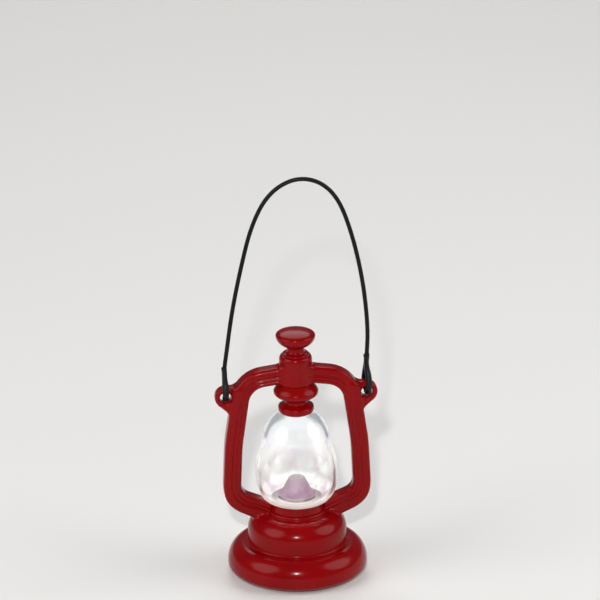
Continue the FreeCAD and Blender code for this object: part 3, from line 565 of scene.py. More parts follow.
# Grooves of an arm: half widths of the middle, inner and outer one, with the last two's depths
# against the middle one's.
MIDDLE_GROOVE = 0.50
INNER_GROOVE, INNER_DEPTH = 0.34, 0.7
OUTER_GROOVE, OUTER_DEPTH = 0.30, 0.35
OUTER_GROOVE_OUTWARD = 0.3   # how much further out than the inner one is in
GROOVES_FADE_REACH = 8.5     # distance from a lug over which they come in
ARM_EDGE = 1.7
LUG_EDGE = 1.3
FOOT_WIDENS_FROM = 44.0
FOOT_WIDENS_OVER = 9.0
FOOT_EXTRA_HALF_WIDTH = 0.75
LOWER_HALF_TOP = LUG_HEIGHT - 40.0
BELOW_LUGS = LUG_HEIGHT - 20.0
DOME_SKIN = 1.6              # how deep the frame reaches into the dome
DOME_SKIN_SINKS = 0.9
SKIRT_REACH = 3.6            # how far the feet's moulding spreads from the arms
BARREL_FILLET = 2.6
SEAT_CLEARANCE = 0.15
GLOBE_CLEARANCE = 0.2
GLOBE_BELLY_HEIGHT = 12.7


def eased(share):
    """A share from 0 to 1 with level ends: 3 share^2 - 2 share^3, cut off outside."""
    share = np.clip(share, 0.0, 1.0)
    return share * share * (3 - 2 * share)


def nearer(nearest, side, counts):
    """Whichever of two signed distances is the lesser in size, the second only where it counts."""
    return np.where(counts & (np.abs(side) < np.abs(nearest)), side, nearest)


def least(a, b, reach):
    """The lesser of two distances, rounded to a fillet where they differ by less than reach."""
    share = np.clip(0.5 + 0.5 * (b - a) / reach, 0.0, 1.0)
    return b + (a - b) * share - reach * share * (1 - share)


def most(a, b, reach):
    """The greater of two distances, rounded where they differ by less than reach."""
    return -least(-a, -b, reach)


def arm_corners():
    """Corners of the arm's middle line in the X-Z plane and the radii of its bends."""
    top = HOOD_TOP + 0.4 * (BARREL_TOP - HOOD_TOP)
    corners = np.array([[0.0, top], [24.7, top - 3.5], [29.2, 64.14],
                        [30.3, ARM_FOOT_HEIGHT + 5.2], [SEAT_RADIUS - 2.0, ARM_FOOT_HEIGHT - 4.0]])
    return corners, (12.5, 90.0, 10.5)


def across_arm(x, z):
    """Signed distance from the arm's middle line, positive on its outer side.

    The line is straight runs joined by tangent arcs. A run counts where the point's foot lies
    on it, and an arc where the point lies within its angle; the nearest one that counts is taken.
    """
    corners, radii = arm_corners()
    nearest = np.full(x.shape, FAR)
    start = corners[0]
    for number in range(1, len(corners)):
        here = corners[number]
        back = corners[number - 1] - here
        back = back / np.linalg.norm(back)
        end = here
        if number < len(corners) - 1:
            ahead = corners[number + 1] - here
            ahead = ahead / np.linalg.norm(ahead)
            half_turn = (math.pi - math.acos(float(back @ ahead))) / 2
            radius = radii[number - 1]
            reach = radius * math.tan(half_turn)
            end = here + back * reach
            inward = (back + ahead) / np.linalg.norm(back + ahead)
            centre = here + inward * radius / math.cos(half_turn)
            from_x, from_z = x - centre[0], z - centre[1]
            distance = np.hypot(from_x, from_z)
            towards = -(from_x * inward[0] + from_z * inward[1]) / np.maximum(distance, SAME_POINT)
            nearest = nearer(nearest, distance - radius, towards > math.cos(half_turn))
        length = np.linalg.norm(end - start)
        along = (end - start) / length
        foot = (x - start[0]) * along[0] + (z - start[1]) * along[1]
        side = -(x - start[0]) * along[1] + (z - start[1]) * along[0]
        last = number == len(corners) - 1
        nearest = nearer(nearest, side, ((foot >= 0) | (number == 1)) & ((foot <= length) | last))
        if not last:
            start = here + ahead * reach
    return nearest


def slab(flat, depth, half_depth, edge):
    """Distance to an upright plate with eased edges, from the flat distance to its outline."""
    wide = flat + edge
    deep = np.abs(depth) - half_depth + edge
    outside = np.hypot(np.maximum(wide, 0.0), np.maximum(deep, 0.0))
    return outside + np.minimum(np.maximum(wide, deep), 0.0) - edge


def arm_field(x, y, z, groove_depth, groove_spacing):
    """Distance to the arms: a rounded bar, wider towards its foot, with grooves along its faces.

    The faces stand back by a bell curve at each groove: one along the middle of the bar, a
    narrower one on its inner side and a faint one on its outer side.
    """
    across = across_arm(x, z)
    middle = np.exp(-(across / MIDDLE_GROOVE) ** 2)
    inner = np.exp(-((across + groove_spacing) / INNER_GROOVE) ** 2)
    outer = np.exp(-((across - groove_spacing - OUTER_GROOVE_OUTWARD) / OUTER_GROOVE) ** 2)
    from_lug = np.hypot(x - LUG_SPREAD + 3, z - LUG_HEIGHT + 1)
    come_in = np.clip(from_lug / GROOVES_FADE_REACH, 0, 1) ** 4
    worn_in = groove_depth * come_in * (middle + INNER_DEPTH * inner + OUTER_DEPTH * outer)
    foot = eased((FOOT_WIDENS_FROM - z) / FOOT_WIDENS_OVER)
    half_width = ARM_HALF_WIDTH + FOOT_EXTRA_HALF_WIDTH * foot
    return slab(np.abs(across) - half_width, np.abs(y) + worn_in, ARM_HALF_DEPTH, ARM_EDGE)


def lug_field(x, y, z):
    """Distance to the lugs: a flat eye run into the arm by a five-sided web that swells to it."""
    slant = LUG_RADIUS * math.sqrt(0.5)
    web = np.array([[23.2, 92.95], [LUG_SPREAD - 5.5, 78.6], [31.75, 80.35],
                    [LUG_SPREAD + slant, LUG_HEIGHT - slant],
                    [LUG_SPREAD, LUG_HEIGHT + LUG_RADIUS]])
    flat = np.full(x.shape, -FAR)
    for start, end in zip(web, np.roll(web, -1, axis=0)):
        along = (end - start) / np.linalg.norm(end - start)
        flat = np.maximum(flat, (x - start[0]) * along[1] - (z - start[1]) * along[0])
    eye = np.hypot(x - LUG_SPREAD, z - LUG_HEIGHT) - LUG_RADIUS
    swell = eased((LUG_SPREAD - 1.2 - x) / 5.0)
    half_depth = LUG_HALF_DEPTH + (ARM_HALF_DEPTH - LUG_HALF_DEPTH) * swell
    return slab(least(flat, eye, 0.5), y, half_depth, LUG_EDGE)


def barrel_field(radius, z):
    """Distance to the barrel: straight, a low bead, then a shoulder drawn in to the lip.

    Bead and shoulder are quarters of ellipses that meet where the bead is widest. The ends are
    level.
    """
    from_bead = z - BARREL_TOP + BARREL_BEAD_DROP
    above = from_bead > 0
    run = np.where(above, BARREL_BEAD_DROP, BARREL_BEAD_RUN)
    bead = np.sqrt(np.clip(1 - (from_bead / run) ** 2, 0, 1))
    plain = np.where(above, BARREL_LIP_RADIUS, BARREL_SKIN_RADIUS)
    wall = plain + (BARREL_BEAD_RADIUS - plain) * bead
    ends = np.abs(z - (HOOD_TOP + BARREL_TOP) / 2) - (BARREL_TOP - HOOD_TOP) / 2
    return most(radius - wall, ends, 0.25)


def dome_field(radius, z):
    """Distance, near enough, to the base's upper tier: a band under an elliptical dome."""
    rise = DOME_TOP - DOME_BAND_TOP
    reach = DOME_RADIUS - COLLAR_RADIUS - 0.8
    round_part = np.hypot(np.maximum(radius - DOME_RADIUS + reach, 0) / reach,
                          np.maximum(z - DOME_BAND_TOP, 0) / rise) - 1
    return np.maximum(round_part * rise, z - DOME_TOP)


def globe_field(radius, z):
    """Distance, near enough, to the globe's lower half: an elliptical bowl on a flat foot."""
    belly = GLOBE_BOTTOM + GLOBE_BELLY_HEIGHT
    reach = GLOBE_RADIUS - GLOBE_FOOT_RADIUS
    bowl = np.hypot(np.maximum(radius - GLOBE_FOOT_RADIUS, 0) / reach,
                    np.maximum(belly - z, 0) / GLOBE_BELLY_HEIGHT) - 1
    return np.where(z < belly, bowl * reach, radius - GLOBE_RADIUS)


def frame_field(points, groove_depth, groove_spacing, fillet):
    """Distance to the whole moulded frame, negative inside it.

    Arms, lugs, a skin of the dome under the arms' feet and the barrel meet in fillets. The lugs'
    holes, the barrel's bore, the seat and the globe are cut out.
    """
    x = np.abs(points[..., 0])
    y, z = points[..., 1], points[..., 2]
    radius = np.hypot(x, y)
    arm = arm_field(x, y, z, groove_depth, groove_spacing)
    field = least(arm, lug_field(x, y, z), fillet)
    hole = np.hypot(x - LUG_SPREAD, z - LUG_HEIGHT) - LUG_HOLE_RADIUS
    field = most(field, -hole, LUG_EDGE)
    dome = dome_field(radius, z)
    # Away from the arms the skin sinks out of sight into the dome.
    sunk = DOME_SKIN_SINKS * np.clip((arm - 0.8) / 2.4, 0, 1) ** 2
    field = least(field, dome + sunk, fillet)
    field = np.maximum(field, -(dome + DOME_SKIN))
    lower_half = z < LOWER_HALF_TOP
    field = np.maximum(field, np.where(lower_half, arm - SKIRT_REACH, -FAR))
    field = least(field, barrel_field(radius, z), BARREL_FILLET)
    field = most(field, np.where(z > HOOD_TOP - 6, BARREL_BORE_RADIUS - radius, -FAR), 0.2)
    seat = SEAT_RADIUS + SEAT_CLEARANCE - radius
    field = np.maximum(field, np.where(lower_half, seat, -FAR))
    globe = GLOBE_CLEARANCE - globe_field(radius, z)
    return np.maximum(field, np.where(z < BELOW_LUGS, globe, -FAR))


def net(field, lowest, highest, step):
    """Quad mesh of a field's zero surface by surface nets.

    Every grid cell that the surface crosses gets one point at the mean of its edges' crossings,
    moved on to the surface by Newton steps down the slope; every grid edge that the surface
    crosses gets one quad that joins its four cells. The field is worked out in 24 slices to
    spare memory.
    """
    counts = np.ceil((np.array(highest) - lowest) / step).astype(int) + 1
    axes = [low_end + step * np.arange(count) for low_end, count in zip(lowest, counts)]
    grid = np.stack(np.meshgrid(*axes, indexing="ij"), axis=-1)
    values = np.concatenate([field(part) for part in np.array_split(grid, 24)])
    inside = values < 0
    cells = tuple(counts - 1)
    total = np.zeros(cells + (3,))
    hits = np.zeros(cells)
    crossings = []
    for axis in range(3):
        near = [slice(None)] * 3
        far = [slice(None)] * 3
        near[axis], far[axis] = slice(None, -1), slice(1, None)
        near, far = tuple(near), tuple(far)
        crossed = inside[near] != inside[far]
        share = values[near] / np.where(crossed, values[near] - values[far], 1.0)
        where = grid[near] + 0.0
        where[..., axis] += share * step
        others = [other for other in range(3) if other != axis]
        for first in (0, 1):
            for second in (0, 1):
                pick = [slice(None)] * 3
                pick[others[0]] = slice(first, first + cells[others[0]])
                pick[others[1]] = slice(second, second + cells[others[1]])
                pick = tuple(pick)
                total += np.where(crossed[pick][..., None], where[pick], 0.0)
                hits += crossed[pick]
        crossings.append((axis, others, crossed, inside[near]))
    used = hits > 0
    index = np.full(cells, -1)
    index[used] = np.arange(int(used.sum()))
    points = total[used] / hits[used][:, None]
    for _ in range(3):
        points = onto_surface(field, points, step)
    quads = [quads_across(index, *crossing) for crossing in crossings]
    return points, np.concatenate(quads)


def onto_surface(field, points, step):
    """One Newton step of each point on to the zero surface, no longer than a third of a cell."""
    small = 0.02
    flattest = 0.05
    slope = np.stack([field(points + small * way) - field(points - small * way)
                      for way in np.eye(3)], axis=-1) / (2 * small)
    steepness = np.maximum((slope ** 2).sum(-1, keepdims=True), flattest)
    shift = field(points)[:, None] * slope / steepness
    length = np.linalg.norm(shift, axis=1, keepdims=True)
    return points - shift * np.minimum(1.0, step / 3 / np.maximum(length, 1e-12))


def quads_across(index, axis, others, crossed, inside_near):
    """Quads round the crossed grid edges of one axis, wound so that they face outwards."""
    inner = [slice(None)] * 3
    inner[others[0]] = slice(1, -1)
    inner[others[1]] = slice(1, -1)
    inner = tuple(inner)
    places = np.argwhere(crossed[inner])
    outward = inside_near[inner][tuple(places.T)]
    places[:, others[0]] += 1
    places[:, others[1]] += 1
    first = np.zeros(3, int)
    second = np.zeros(3, int)
    first[others[0]] = 1
    second[others[1]] = 1
    ring = [places - first - second, places - second, places, places - first]
    quads = np.stack([index[tuple(cell.T)] for cell in ring], axis=-1)
    flip = outward if axis != 1 else ~outward
    quads[~flip] = quads[~flip][:, ::-1]
    return quads


# ---- cord and sleeves

# Route of the cord above the hinge line, the same points as the CAD tube's.
CORD_ROUTE = [
    (-32.90, -1.30, 9.2),
    (-32.85, -2.70, 4.6),
    (-32.80, -4.20, 1.8),
    (-32.80, -4.20, -1.8),
    (-32.75, -1.75, -4.2),
    (-32.70, 1.75, -4.2),
    (-32.70, 4.20, -1.8),
    (-32.70, 4.20, 1.8),
    (-33.00, 0.95, 9.4),
    (-31.75, 0.00, 19.5),
    (-29.20, 0.00, 38.5),
    (-25.10, 0.00, 59.0),
    (-20.10, 0.00, 80.0),
    (-12.40, 0.00, 95.7),
    (-0.50, 0.00, 103.3),
    (11.30, 0.00, 101.7),
    (20.40, 0.00, 92.6),
    (26.70, 0.00, 74.2),
    (31.40, 0.00, 51.5),
    (33.60, 0.00, 28.5),
    (33.10, 0.60, 14.0),
    (32.30, 2.00, 7.2),
    (31.80, 4.15, 1.8),
    (31.80, 4.15, -1.8),
    (32.35, 1.72, -4.2),
    (33.05, -1.72, -4.2),
    (33.60, -4.15, -1.8),
    (33.60, -4.15, 1.8),
    (33.20, -2.75, 5.0),
    (32.80, -1.50, 8.6),
    (32.40, -1.25, 12.6),
]

# Sleeve sections: centre x, y, height above the hinge line, half width, half thickness and the
# section's tilt in degrees, from level round to upright inside the lug's hole.
LEFT_SLEEVE = [
    (-33.02, 0.72, 10.35, 1.10, 1.20, 0),
    (-33.14, 0.40, 9.9, 1.30, 1.70, 0),
    (-33.02, 0.05, 8.6, 1.22, 2.30, 0),
    (-32.98, 0.00, 6.6, 1.22, 2.95, 0),
    (-32.94, -0.90, 4.8, 1.30, 2.55, 0),
    (-32.90, -3.05, 3.4, 1.46, 1.70, 0),
    (-32.86, -4.15, 1.6, 1.52, 1.40, 8),
    (-32.84, -4.55, 0.0, 1.54, 1.32, 0),
    (-32.80, -4.10, -2.0, 1.50, 1.34, -26),
    (-32.76, -2.90, -3.55, 1.46, 1.36, -52),
    (-32.72, -1.40, -4.4, 1.40, 1.32, -76),
    (-32.70, 0.20, -4.6, 1.36, 1.26, -90),
]
RIGHT_SLEEVE = [
    (33.10, 0.60, 14.2, 1.10, 1.20, 0),
    (32.78, 0.10, 13.6, 1.42, 1.90, 0),
    (32.80, -0.25, 12.6, 1.30, 2.20, 0),
    (32.80, 0.00, 10.2, 1.10, 2.45, 0),
    (32.86, -0.20, 7.4, 1.34, 2.95, 0),
    (33.12, -1.50, 5.9, 1.42, 2.45, 0),
    (33.36, -3.10, 4.2, 1.44, 1.56, 0),
    (33.48, -4.15, 1.8, 1.46, 1.30, 8),
    (33.44, -4.40, 0.2, 1.42, 1.24, 0),
    (33.32, -4.00, -1.9, 1.36, 1.22, -26),
    (33.12, -2.85, -3.4, 1.32, 1.22, -52),
    (32.94, -1.40, -4.25, 1.28, 1.20, -76),
    (32.70, 0.20, -4.45, 1.26, 1.16, -90),
]


def along_sections(sections, steps_each=8):
    """Sections in between the given ones, on Catmull-Rom curves through every value."""
    known = np.array(sections, float)
    padded = np.concatenate([2 * known[:1] - known[1:2], known, 2 * known[-1:] - known[-2:-1]])
    t = np.linspace(0.0, 1.0, steps_each, endpoint=False)[None, :, None]
    a, b, c, d = (padded[k:len(known) - 1 + k, None] for k in range(4))
    curve = b + 0.5 * t * (c - a + t * (2 * a - 5 * b + 4 * c - d + t * (3 * (b - c) + d - a)))
    return np.concatenate([curve.reshape(-1, known.shape[1]), known[-1:]])


def sleeve_surface(sections):
    """Sleeve skin: ovals through the sections, drawn in to a small rounded lip at each end."""
    rings = along_sections(sections)
    tilt = np.radians(rings[:, 5])
    onward = np.stack([0 * tilt, np.sin(tilt), -np.cos(tilt)], axis=1)
    turn = np.linspace(0.0, math.pi / 2, 6)[:-1]
    lip = 0.22
    first = np.repeat(rings[:1], len(turn), axis=0)
    last = np.repeat(rings[-1:], len(turn), axis=0)
    for ends, away, share in ((first, -onward[0], turn), (last, onward[-1], turn[::-1])):
        ends[:, :3] += away * lip * np.cos(share)[:, None]
        ends[:, 3:5] -= lip * (1 - np.sin(share))[:, None]
    rings = np.concatenate([first, rings, last])
    rings[:, 2] += HINGE_HEIGHT
    return carried(rings)


# ---- profiles of the turned pieces

def base_profile():
    """Section of the base: foot tier, cove, domed tier and collar outside, one wall thick."""
    dome_inner = DOME_RADIUS - BASE_WALL
    inner = BASE_RADIUS - BASE_WALL
    return outline([
        (FOOT_OPENING_RADIUS, 0.0, 0.25),
        (BASE_RADIUS, 0.0, 9.0, 4.6),
        (BASE_RADIUS, FOOT_TOP + 0.1, 9.4, 7.4),
        (DOME_RADIUS + 0.05, FOOT_TOP - 0.15, 0.9),
        (DOME_RADIUS, DOME_TOP, DOME_TOP - DOME_BAND_TOP, 8.2),
        (COLLAR_RADIUS, DOME_TOP - 0.05, 0.35),
        (COLLAR_RADIUS, COLLAR_TOP, 0.7),
        (NECK_BORE_RADIUS, COLLAR_TOP, 0.3),
        (NECK_BORE_RADIUS, DOME_TOP - BASE_WALL, 0.3),
        (dome_inner, DOME_TOP - BASE_WALL, 5.0, 4.5),
        (dome_inner, FOOT_TOP - BASE_WALL, 0.5),
        (inner, FOOT_TOP - BASE_WALL, 3.0, 5.0),
        (inner, BASE_WALL, 2.6, 6.0),
        (FOOT_OPENING_RADIUS, BASE_WALL, 0.3),
    ])


def seat_profile():
    """Section of the globe's seat with its spigot and stem."""
    return outline([
        (PLATE_BORE_RADIUS, COLLAR_TOP - 2.0, 0.2),
        (9.4, COLLAR_TOP - 2.0, 0.3),
        (9.4, COLLAR_TOP, 0.1),
        (SEAT_RADIUS, COLLAR_TOP, 0.2),
        (SEAT_RADIUS - 0.2, GLOBE_BOTTOM - 2.4, 0.6),
        (SEAT_RADIUS, GLOBE_BOTTOM, 0.7),
        (4.0, GLOBE_BOTTOM, 0.3),
        (4.0, PLATE_BOTTOM, 0.15),
        (PLATE_BORE_RADIUS, PLATE_BOTTOM, 0.15),
    ])


def globe_profile():
    """Section of the globe's wall: bowl, belly, shoulder and crown outside, and back inside."""
    inner = GLOBE_RADIUS - GLOBE_WALL
    return outline([
        (9.0, GLOBE_BOTTOM, 0.35),
        (GLOBE_RADIUS, GLOBE_BOTTOM, 7.1, GLOBE_BELLY_HEIGHT),
        (GLOBE_RADIUS, GLOBE_BOTTOM + 19.6, 4.3, 5.4),
        (15.7, GLOBE_BOTTOM + 28.9, 4.0, 3.4),
        (14.9, GLOBE_BOTTOM + 37.6, 4.8, 6.6),
        (7.2, GLOBE_TOP, 0.3),
        (4.5, GLOBE_TOP, 0.3),
        (4.5, GLOBE_TOP - 2.1, 0.4),
        (13.0, GLOBE_BOTTOM + 36.0, 5.6, 5.4),
        (13.8, GLOBE_BOTTOM + 28.4, 2.0, 3.4),
        (inner, GLOBE_BOTTOM + 19.2, 4.6, 4.3),
        (inner, GLOBE_BOTTOM + GLOBE_WALL, 10.5, 5.4),
        (9.0, GLOBE_BOTTOM + GLOBE_WALL, 0.3),
    ])


def hood_profile():
    """Section of the hood: disc, neck, flared cap and spigot, solid to the axis."""
    z = GLOBE_TOP
    return outline([
        (0.0, z, 0.0),
        (8.15, z, 1.3, 1.5),
        (8.35, z + 3.2, 1.0, 0.45),
        (6.6, z + 3.95, 0.7, 0.4),
        (5.05, z + 4.75, 0.6, 0.4),
        (5.0, z + 6.3, 0.5, 0.7),
        (10.2, z + 8.9, 1.5, 0.8),
        (10.45, z + 10.9, 0.7, 0.5),
        (9.4, z + 12.5, 0.9, 0.6),
        (8.2, z + 13.55, 0.5, 0.4),
        (BARREL_RADIUS - 0.05, HOOD_TOP, 0.3),
        (SPIGOT_RADIUS, HOOD_TOP, 0.2),
        (SPIGOT_RADIUS, HOOD_TOP + SPIGOT_LENGTH, 0.4),
        (0.0, HOOD_TOP + SPIGOT_LENGTH, 0.0),
    ], closed=False)


def finial_profile():
    """Section of the finial: spigot, foot, waisted neck and domed button, solid to the axis."""
    z = BARREL_TOP
    edge = 9.17
    button = np.concatenate([
        bend((5.3, z + 4.65), (8.75, z + 5.5), (edge, z + 9.1), 24),
        bend((edge, z + 9.55), (edge, FINIAL_TOP), (0.0, FINIAL_TOP), 40),
    ])
    stem = outline([
        (0.0, z - SPIGOT_LENGTH, 0.0),
        (SPIGOT_RADIUS, z - SPIGOT_LENGTH, 0.4),
        (SPIGOT_RADIUS, z, 0.2),
        (BARREL_LIP_RADIUS, z, 0.25),
        (6.05, z + 0.75, 0.3, 0.35),
        (4.15, z + 1.25, 0.9, 0.8),
        (4.0, z + 4.2, 1.2, 1.0),
        (5.3, z + 4.65, 0.0),
    ], closed=False)
    return np.concatenate([stem, button[1:]])


def burner_plate_profile():
    """Section of the plate under the burner cone, with an eased edge."""
    return outline([
        (PLATE_BORE_RADIUS, PLATE_BOTTOM, 0.1),
        (8.6, PLATE_BOTTOM, 0.3, 0.25),
        (8.6, PLATE_TOP, 0.25, 0.3),
        (PLATE_BORE_RADIUS, PLATE_TOP, 0.1),
    ])


def burner_cone_profile():
    """Section of the hollow cone that the LED stands in."""
    return outline([
        (6.8, PLATE_TOP, 0.15),
        (7.8, PLATE_TOP, 0.12),
        (7.8, PLATE_TOP + 0.35, 0.12),
        (7.3, PLATE_TOP + 0.5, 0.15),
        (3.5, CONE_TOP, 0.5),
        (1.6, CONE_TOP, 0.15),
        (1.6, CONE_TOP - 1.0, 0.15),
        (2.6, CONE_TOP - 1.0, 0.15),
    ])


def led_profile():
    """Section of the LED: flange, straight body and round tip."""
    bottom = low("led", 2)
    top = high("led", 2)
    return outline([
        (0.0, bottom, 0.0),
        (1.9, bottom, 0.15),
        (1.9, bottom + 1.0, 0.2),
        (1.5, bottom + 1.0, 0.08),
        (1.5, top, 1.45),
        (0.0, top, 0.0),
    ], closed=False)


# ---- operators

class LANTERN_OT_base(Operator):
    """Build the two-tier base and the seat of the globe"""

    bl_idname = "lantern.base"
    bl_label = "Base and seat"

    def execute(self, context):
        """Turn both sections and give them the red plastic."""
        red = red_plastic(context.scene.lantern_colours)
        turned_piece("lantern_base", "base_shell", base_profile(), red, "red_plastic",
                     around=STEPS_ROUND_FINE)
        turned_piece("lantern_globe_seat", "globe_seat", seat_profile(), red, "red_plastic")
        return {"FINISHED"}


class LANTERN_OT_frame(Operator):
    """Build the frame with its two arms, lugs and barrel"""

    bl_idname = "lantern.frame"
    bl_label = "Frame"

    def execute(self, context):
        """Mesh the frame's distance field and check that its surface is there."""
        sizes = context.scene.lantern_sizes
        given = (sizes.groove_depth, sizes.groove_spacing, sizes.fillet)
        groove_depth, groove_spacing, fillet = (size / METRES for size in given)
        step = sizes.frame_step / METRES
        margin = 2 * step
        half_depth = BARREL_RADIUS + 1.0
        points, quads = net(
            lambda places: frame_field(places, groove_depth, groove_spacing, fillet),
            (-LUG_REACH - margin, -half_depth, DOME_BAND_TOP - 2.0),
            (LUG_REACH + margin, half_depth, BARREL_TOP + margin), step)
        if not len(quads):
            raise RuntimeError("the frame's surface is missing")
        piece_from("lantern_frame", points, quads.tolist(),
                   red_plastic(context.scene.lantern_colours), "lamp", "red_plastic", "frame")
        return {"FINISHED"}


class LANTERN_OT_top(Operator):
    """Build the hood over the globe and the finial on top"""

    bl_idname = "lantern.top"
    bl_label = "Hood and finial"

    def execute(self, context):
        """Turn both sections and give them the red plastic."""
        red = red_plastic(context.scene.lantern_colours)
        turned_piece("lantern_hood", "hood", hood_profile(), red, "red_plastic", closed=False)
        turned_piece("lantern_finial", "finial", finial_profile(), red, "red_plastic",
                     closed=False)
        return {"FINISHED"}


class LANTERN_OT_globe(Operator):
    """Build the clear globe"""

    bl_idname = "lantern.globe"
    bl_label = "Globe"

    def execute(self, context):
        """Turn the globe's wall and give it the clear plastic."""
        turned_piece("lantern_globe", "globe", globe_profile(),
                     clear_plastic(context.scene.lantern_colours), "clear_globe",
                     around=STEPS_ROUND_FINE)
        return {"FINISHED"}


class LANTERN_OT_burner(Operator):
    """Build the burner plate, its cone and the LED inside the globe"""

    bl_idname = "lantern.burner"
    bl_label = "Burner and LED"

    def execute(self, context):
        """Turn the three sections, and give the LED's holder the cone's plastic."""
        plastic = burner_plastic(context.scene.lantern_colours)
        turned_piece("lantern_burner_plate", "burner_plate", burner_plate_profile(), plastic,
                     "burner_plastic", around=STEPS_ROUND_SMALL)
        turned_piece("lantern_burner_cone", "burner_cone", burner_cone_profile(), plastic,
                     "burner_plastic", around=STEPS_ROUND_SMALL)
        turned_piece("lantern_led", "led", led_profile(), lens_epoxy(), "led_lens", closed=False,
                     around=STEPS_ROUND_SMALL // 2)
        give_finish("led_holder", plastic)
        return {"FINISHED"}


class LANTERN_OT_cord(Operator):
    """Build the carrying cord and the two sleeves at its ends"""

    bl_idname = "lantern.cord"
    bl_label = "Cord and sleeves"

    def execute(self, context):
        """Lay the cord on its route and skin the sleeves."""
        colours = context.scene.lantern_colours
        sleeve = shrunk_sleeve(colours)
        sleeves = [
            piece_from("lantern_left_sleeve", *sleeve_surface(LEFT_SLEEVE), sleeve, "handle",
                       "sleeve_black", "left_cord_sleeve"),
            piece_from("lantern_right_sleeve", *sleeve_surface(RIGHT_SLEEVE), sleeve, "handle",
                       "sleeve_black", "right_cord_sleeve"),
        ]
        diameter = context.scene.lantern_sizes.cord_diameter
        clear_old("lantern_cord")
        curve = bpy.data.curves.new("lantern_cord", "CURVE")
        curve.dimensions = "3D"
        curve.resolution_u = 16
        curve.bevel_depth = diameter / 2
        curve.bevel_resolution = 6
        curve.use_fill_caps = True
        curve.materials.append(rubber(colours))
        route = np.array(CORD_ROUTE) + np.array([0.0, 0.0, HINGE_HEIGHT])
        points = np.concatenate([route * METRES, np.ones((len(route), 1))], axis=1)
        spline = curve.splines.new("NURBS")
        spline.points.add(len(points) - 1)
        spline.points.foreach_set("co", points.ravel())
        spline.order_u = 3
        spline.use_endpoint_u = True
        cord = bpy.data.objects.new("lantern_cord", curve)
        context.scene.collection.objects.link(cord)
        place_piece(cord, "handle", "handle_cord")
        return {"FINISHED"}


class LANTERN_OT_underside(Operator):
    """Give the bottom cover, its screws, the switch and the inner pieces their finishes"""

    bl_idname = "lantern.underside"
    bl_label = "Underside and insides"

    def execute(self, context):
        """Give every other CAD node that stays its material."""
        black = grained_black(context.scene.lantern_colours)
        steel = metal("screw_zinc", (0.52, 0.52, 0.53), 0.26, 0.22)
        nickel = metal("nickel_plate", (0.66, 0.64, 0.60), 0.16, 0.12)
        can = metal("switch_can", (0.58, 0.58, 0.57), 0.3, 0.2)
        finishes = {
            "base_cover": black, "battery_door": black, "switch_slider": black, "resistor": black,
            "cover_screws": steel, "battery_door_screw": steel, "frame_screws": steel,
            "hood_screw": steel, "button_cells": nickel, "negative_contact": nickel,
            "positive_contact": nickel, "switch_body": can, "circuit_board": board_mask(),
            "led_wires": wire_cover(),
        }
        for node, material in finishes.items():
            give_finish(node, material)
        return {"FINISHED"}


# Lights: place and width in metres, and power in watts. Each is turned to LIGHTS_AIM.
LIGHTS = {
    "left_softbox": ((-0.80, -0.30, 0.60), 0.85, 5.2),
    "right_softbox": ((0.82, -0.18, 0.60), 0.85, 5.2),
    "overhead": ((0.05, 0.80, 0.92), 0.85, 4.6),
    "camera_lamp": ((-0.50, -3.90, 2.15), 0.14, 98.0),
}
LIGHTS_AIM = Vector((0.0, 0.0, 0.05))
WORLD_COLOUR = (0.90, 0.92, 0.95, 1.0)
WORLD_STRENGTH = 0.14
FLOOR_REACH = 4.0  # metres from the lamp to each side of the floor


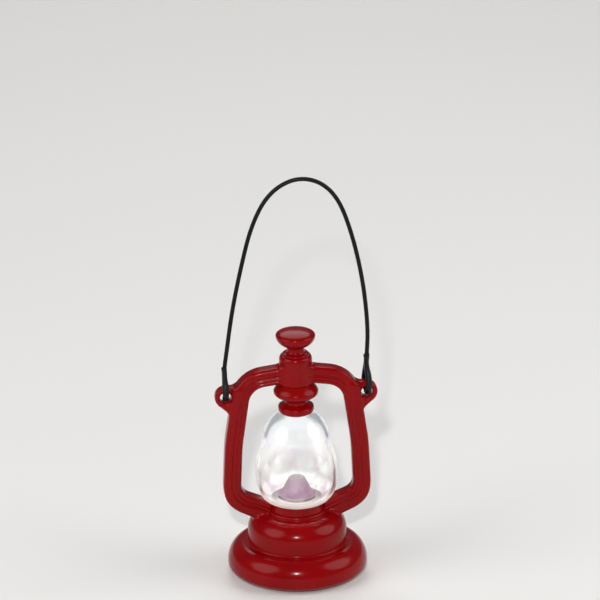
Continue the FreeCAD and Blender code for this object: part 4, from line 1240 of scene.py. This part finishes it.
class LANTERN_OT_stage(Operator):
    """Set up the floor, the lights and the camera"""

    bl_idname = "lantern.stage"
    bl_label = "Stage"

    def execute(self, context):
        """Make the floor, four lights, the pale world and the camera."""
        scene = context.scene
        clear_old("stage_floor")
        mesh = bpy.data.meshes.new("stage_floor")
        corners = [(-1, -1, 0), (1, -1, 0), (1, 1, 0), (-1, 1, 0)]
        mesh.from_pydata((np.array(corners) * FLOOR_REACH).tolist(), [], [(0, 1, 2, 3)])
        mesh.materials.append(floor_paint(scene.lantern_colours))
        floor = bpy.data.objects.new("stage_floor", mesh)
        scene.collection.objects.link(floor)
        world = bpy.data.worlds.get("stage_world") or bpy.data.worlds.new("stage_world")
        world.use_nodes = True
        background = world.node_tree.nodes["Background"]
        background.inputs["Color"].default_value = WORLD_COLOUR
        background.inputs["Strength"].default_value = WORLD_STRENGTH
        scene.world = world
        scene.view_settings.view_transform = "Standard"
        for name, (place, width, power) in LIGHTS.items():
            self.area_light(scene, name, place, width, power)
        self.camera(scene)
        return {"FINISHED"}

    @staticmethod
    def area_light(scene, name, place, width, power):
        """Round soft light, turned to the lights' aim."""
        clear_old(name)
        light = bpy.data.lights.new(name, "AREA")
        light.shape = "DISK"
        light.size = width
        light.energy = power
        lamp = bpy.data.objects.new(name, light)
        lamp.location = place
        lamp.rotation_mode = "QUATERNION"
        lamp.rotation_quaternion = (LIGHTS_AIM - Vector(place)).to_track_quat("-Z", "Y")
        scene.collection.objects.link(lamp)

    @staticmethod
    def camera(scene):
        """Long lens, a little to the left of the front and above the lamp."""
        azimuth, elevation, roll = (math.radians(angle) for angle in (-5.4, 22.5, -0.55))
        distance = 10.0
        view_width = 0.276
        view_height = 0.1345
        moved_right = 0.0023
        back = Vector((math.sin(azimuth) * math.cos(elevation),
                       -math.cos(azimuth) * math.cos(elevation), math.sin(elevation)))
        right = Vector((math.cos(azimuth), math.sin(azimuth), 0.0))
        target = Vector((0.0, 0.0, view_height)) + right * moved_right
        clear_old("stage_camera")
        data = bpy.data.cameras.new("stage_camera")
        data.sensor_width = 36.0
        data.lens = data.sensor_width * distance / view_width
        data.clip_start = 0.05
        camera = bpy.data.objects.new("stage_camera", data)
        camera.location = target + back * distance
        camera.rotation_mode = "QUATERNION"
        lean = Quaternion((0.0, 0.0, 1.0), roll)
        camera.rotation_quaternion = (-back).to_track_quat("-Z", "Y") @ lean
        scene.collection.objects.link(camera)
        scene.camera = camera


class LANTERN_PT_panel(Panel):
    """Sidebar panel with the lantern's sizes, colours and build steps"""

    bl_idname = "LANTERN_PT_panel"
    bl_label = "Lantern"
    bl_space_type = "VIEW_3D"
    bl_region_type = "UI"
    bl_category = "Lantern"

    def draw(self, context):
        """List the settings and one button for each step."""
        for group in (context.scene.lantern_sizes, context.scene.lantern_colours):
            for name in group.__annotations__:
                self.layout.prop(group, name)
        for step in STEPS:
            self.layout.operator(step.bl_idname)


STEPS = (LANTERN_OT_base, LANTERN_OT_frame, LANTERN_OT_top, LANTERN_OT_globe, LANTERN_OT_burner,
         LANTERN_OT_cord, LANTERN_OT_underside, LANTERN_OT_stage)
CLASSES = (LanternSizes, LanternColours, *STEPS, LANTERN_PT_panel)


def register():
    """Make the classes and their settings known to Blender."""
    for known in CLASSES:
        bpy.utils.register_class(known)
    bpy.types.Scene.lantern_sizes = PointerProperty(type=LanternSizes)
    bpy.types.Scene.lantern_colours = PointerProperty(type=LanternColours)


def unregister():
    """Undo register."""
    del bpy.types.Scene.lantern_colours
    del bpy.types.Scene.lantern_sizes
    for known in reversed(CLASSES):
        bpy.utils.unregister_class(known)


def main():
    """Run every step in order."""
    register()
    for step in STEPS:
        group, action = step.bl_idname.split(".")
        getattr(getattr(bpy.ops, group), action)()


if __name__ == "__main__":
    main()
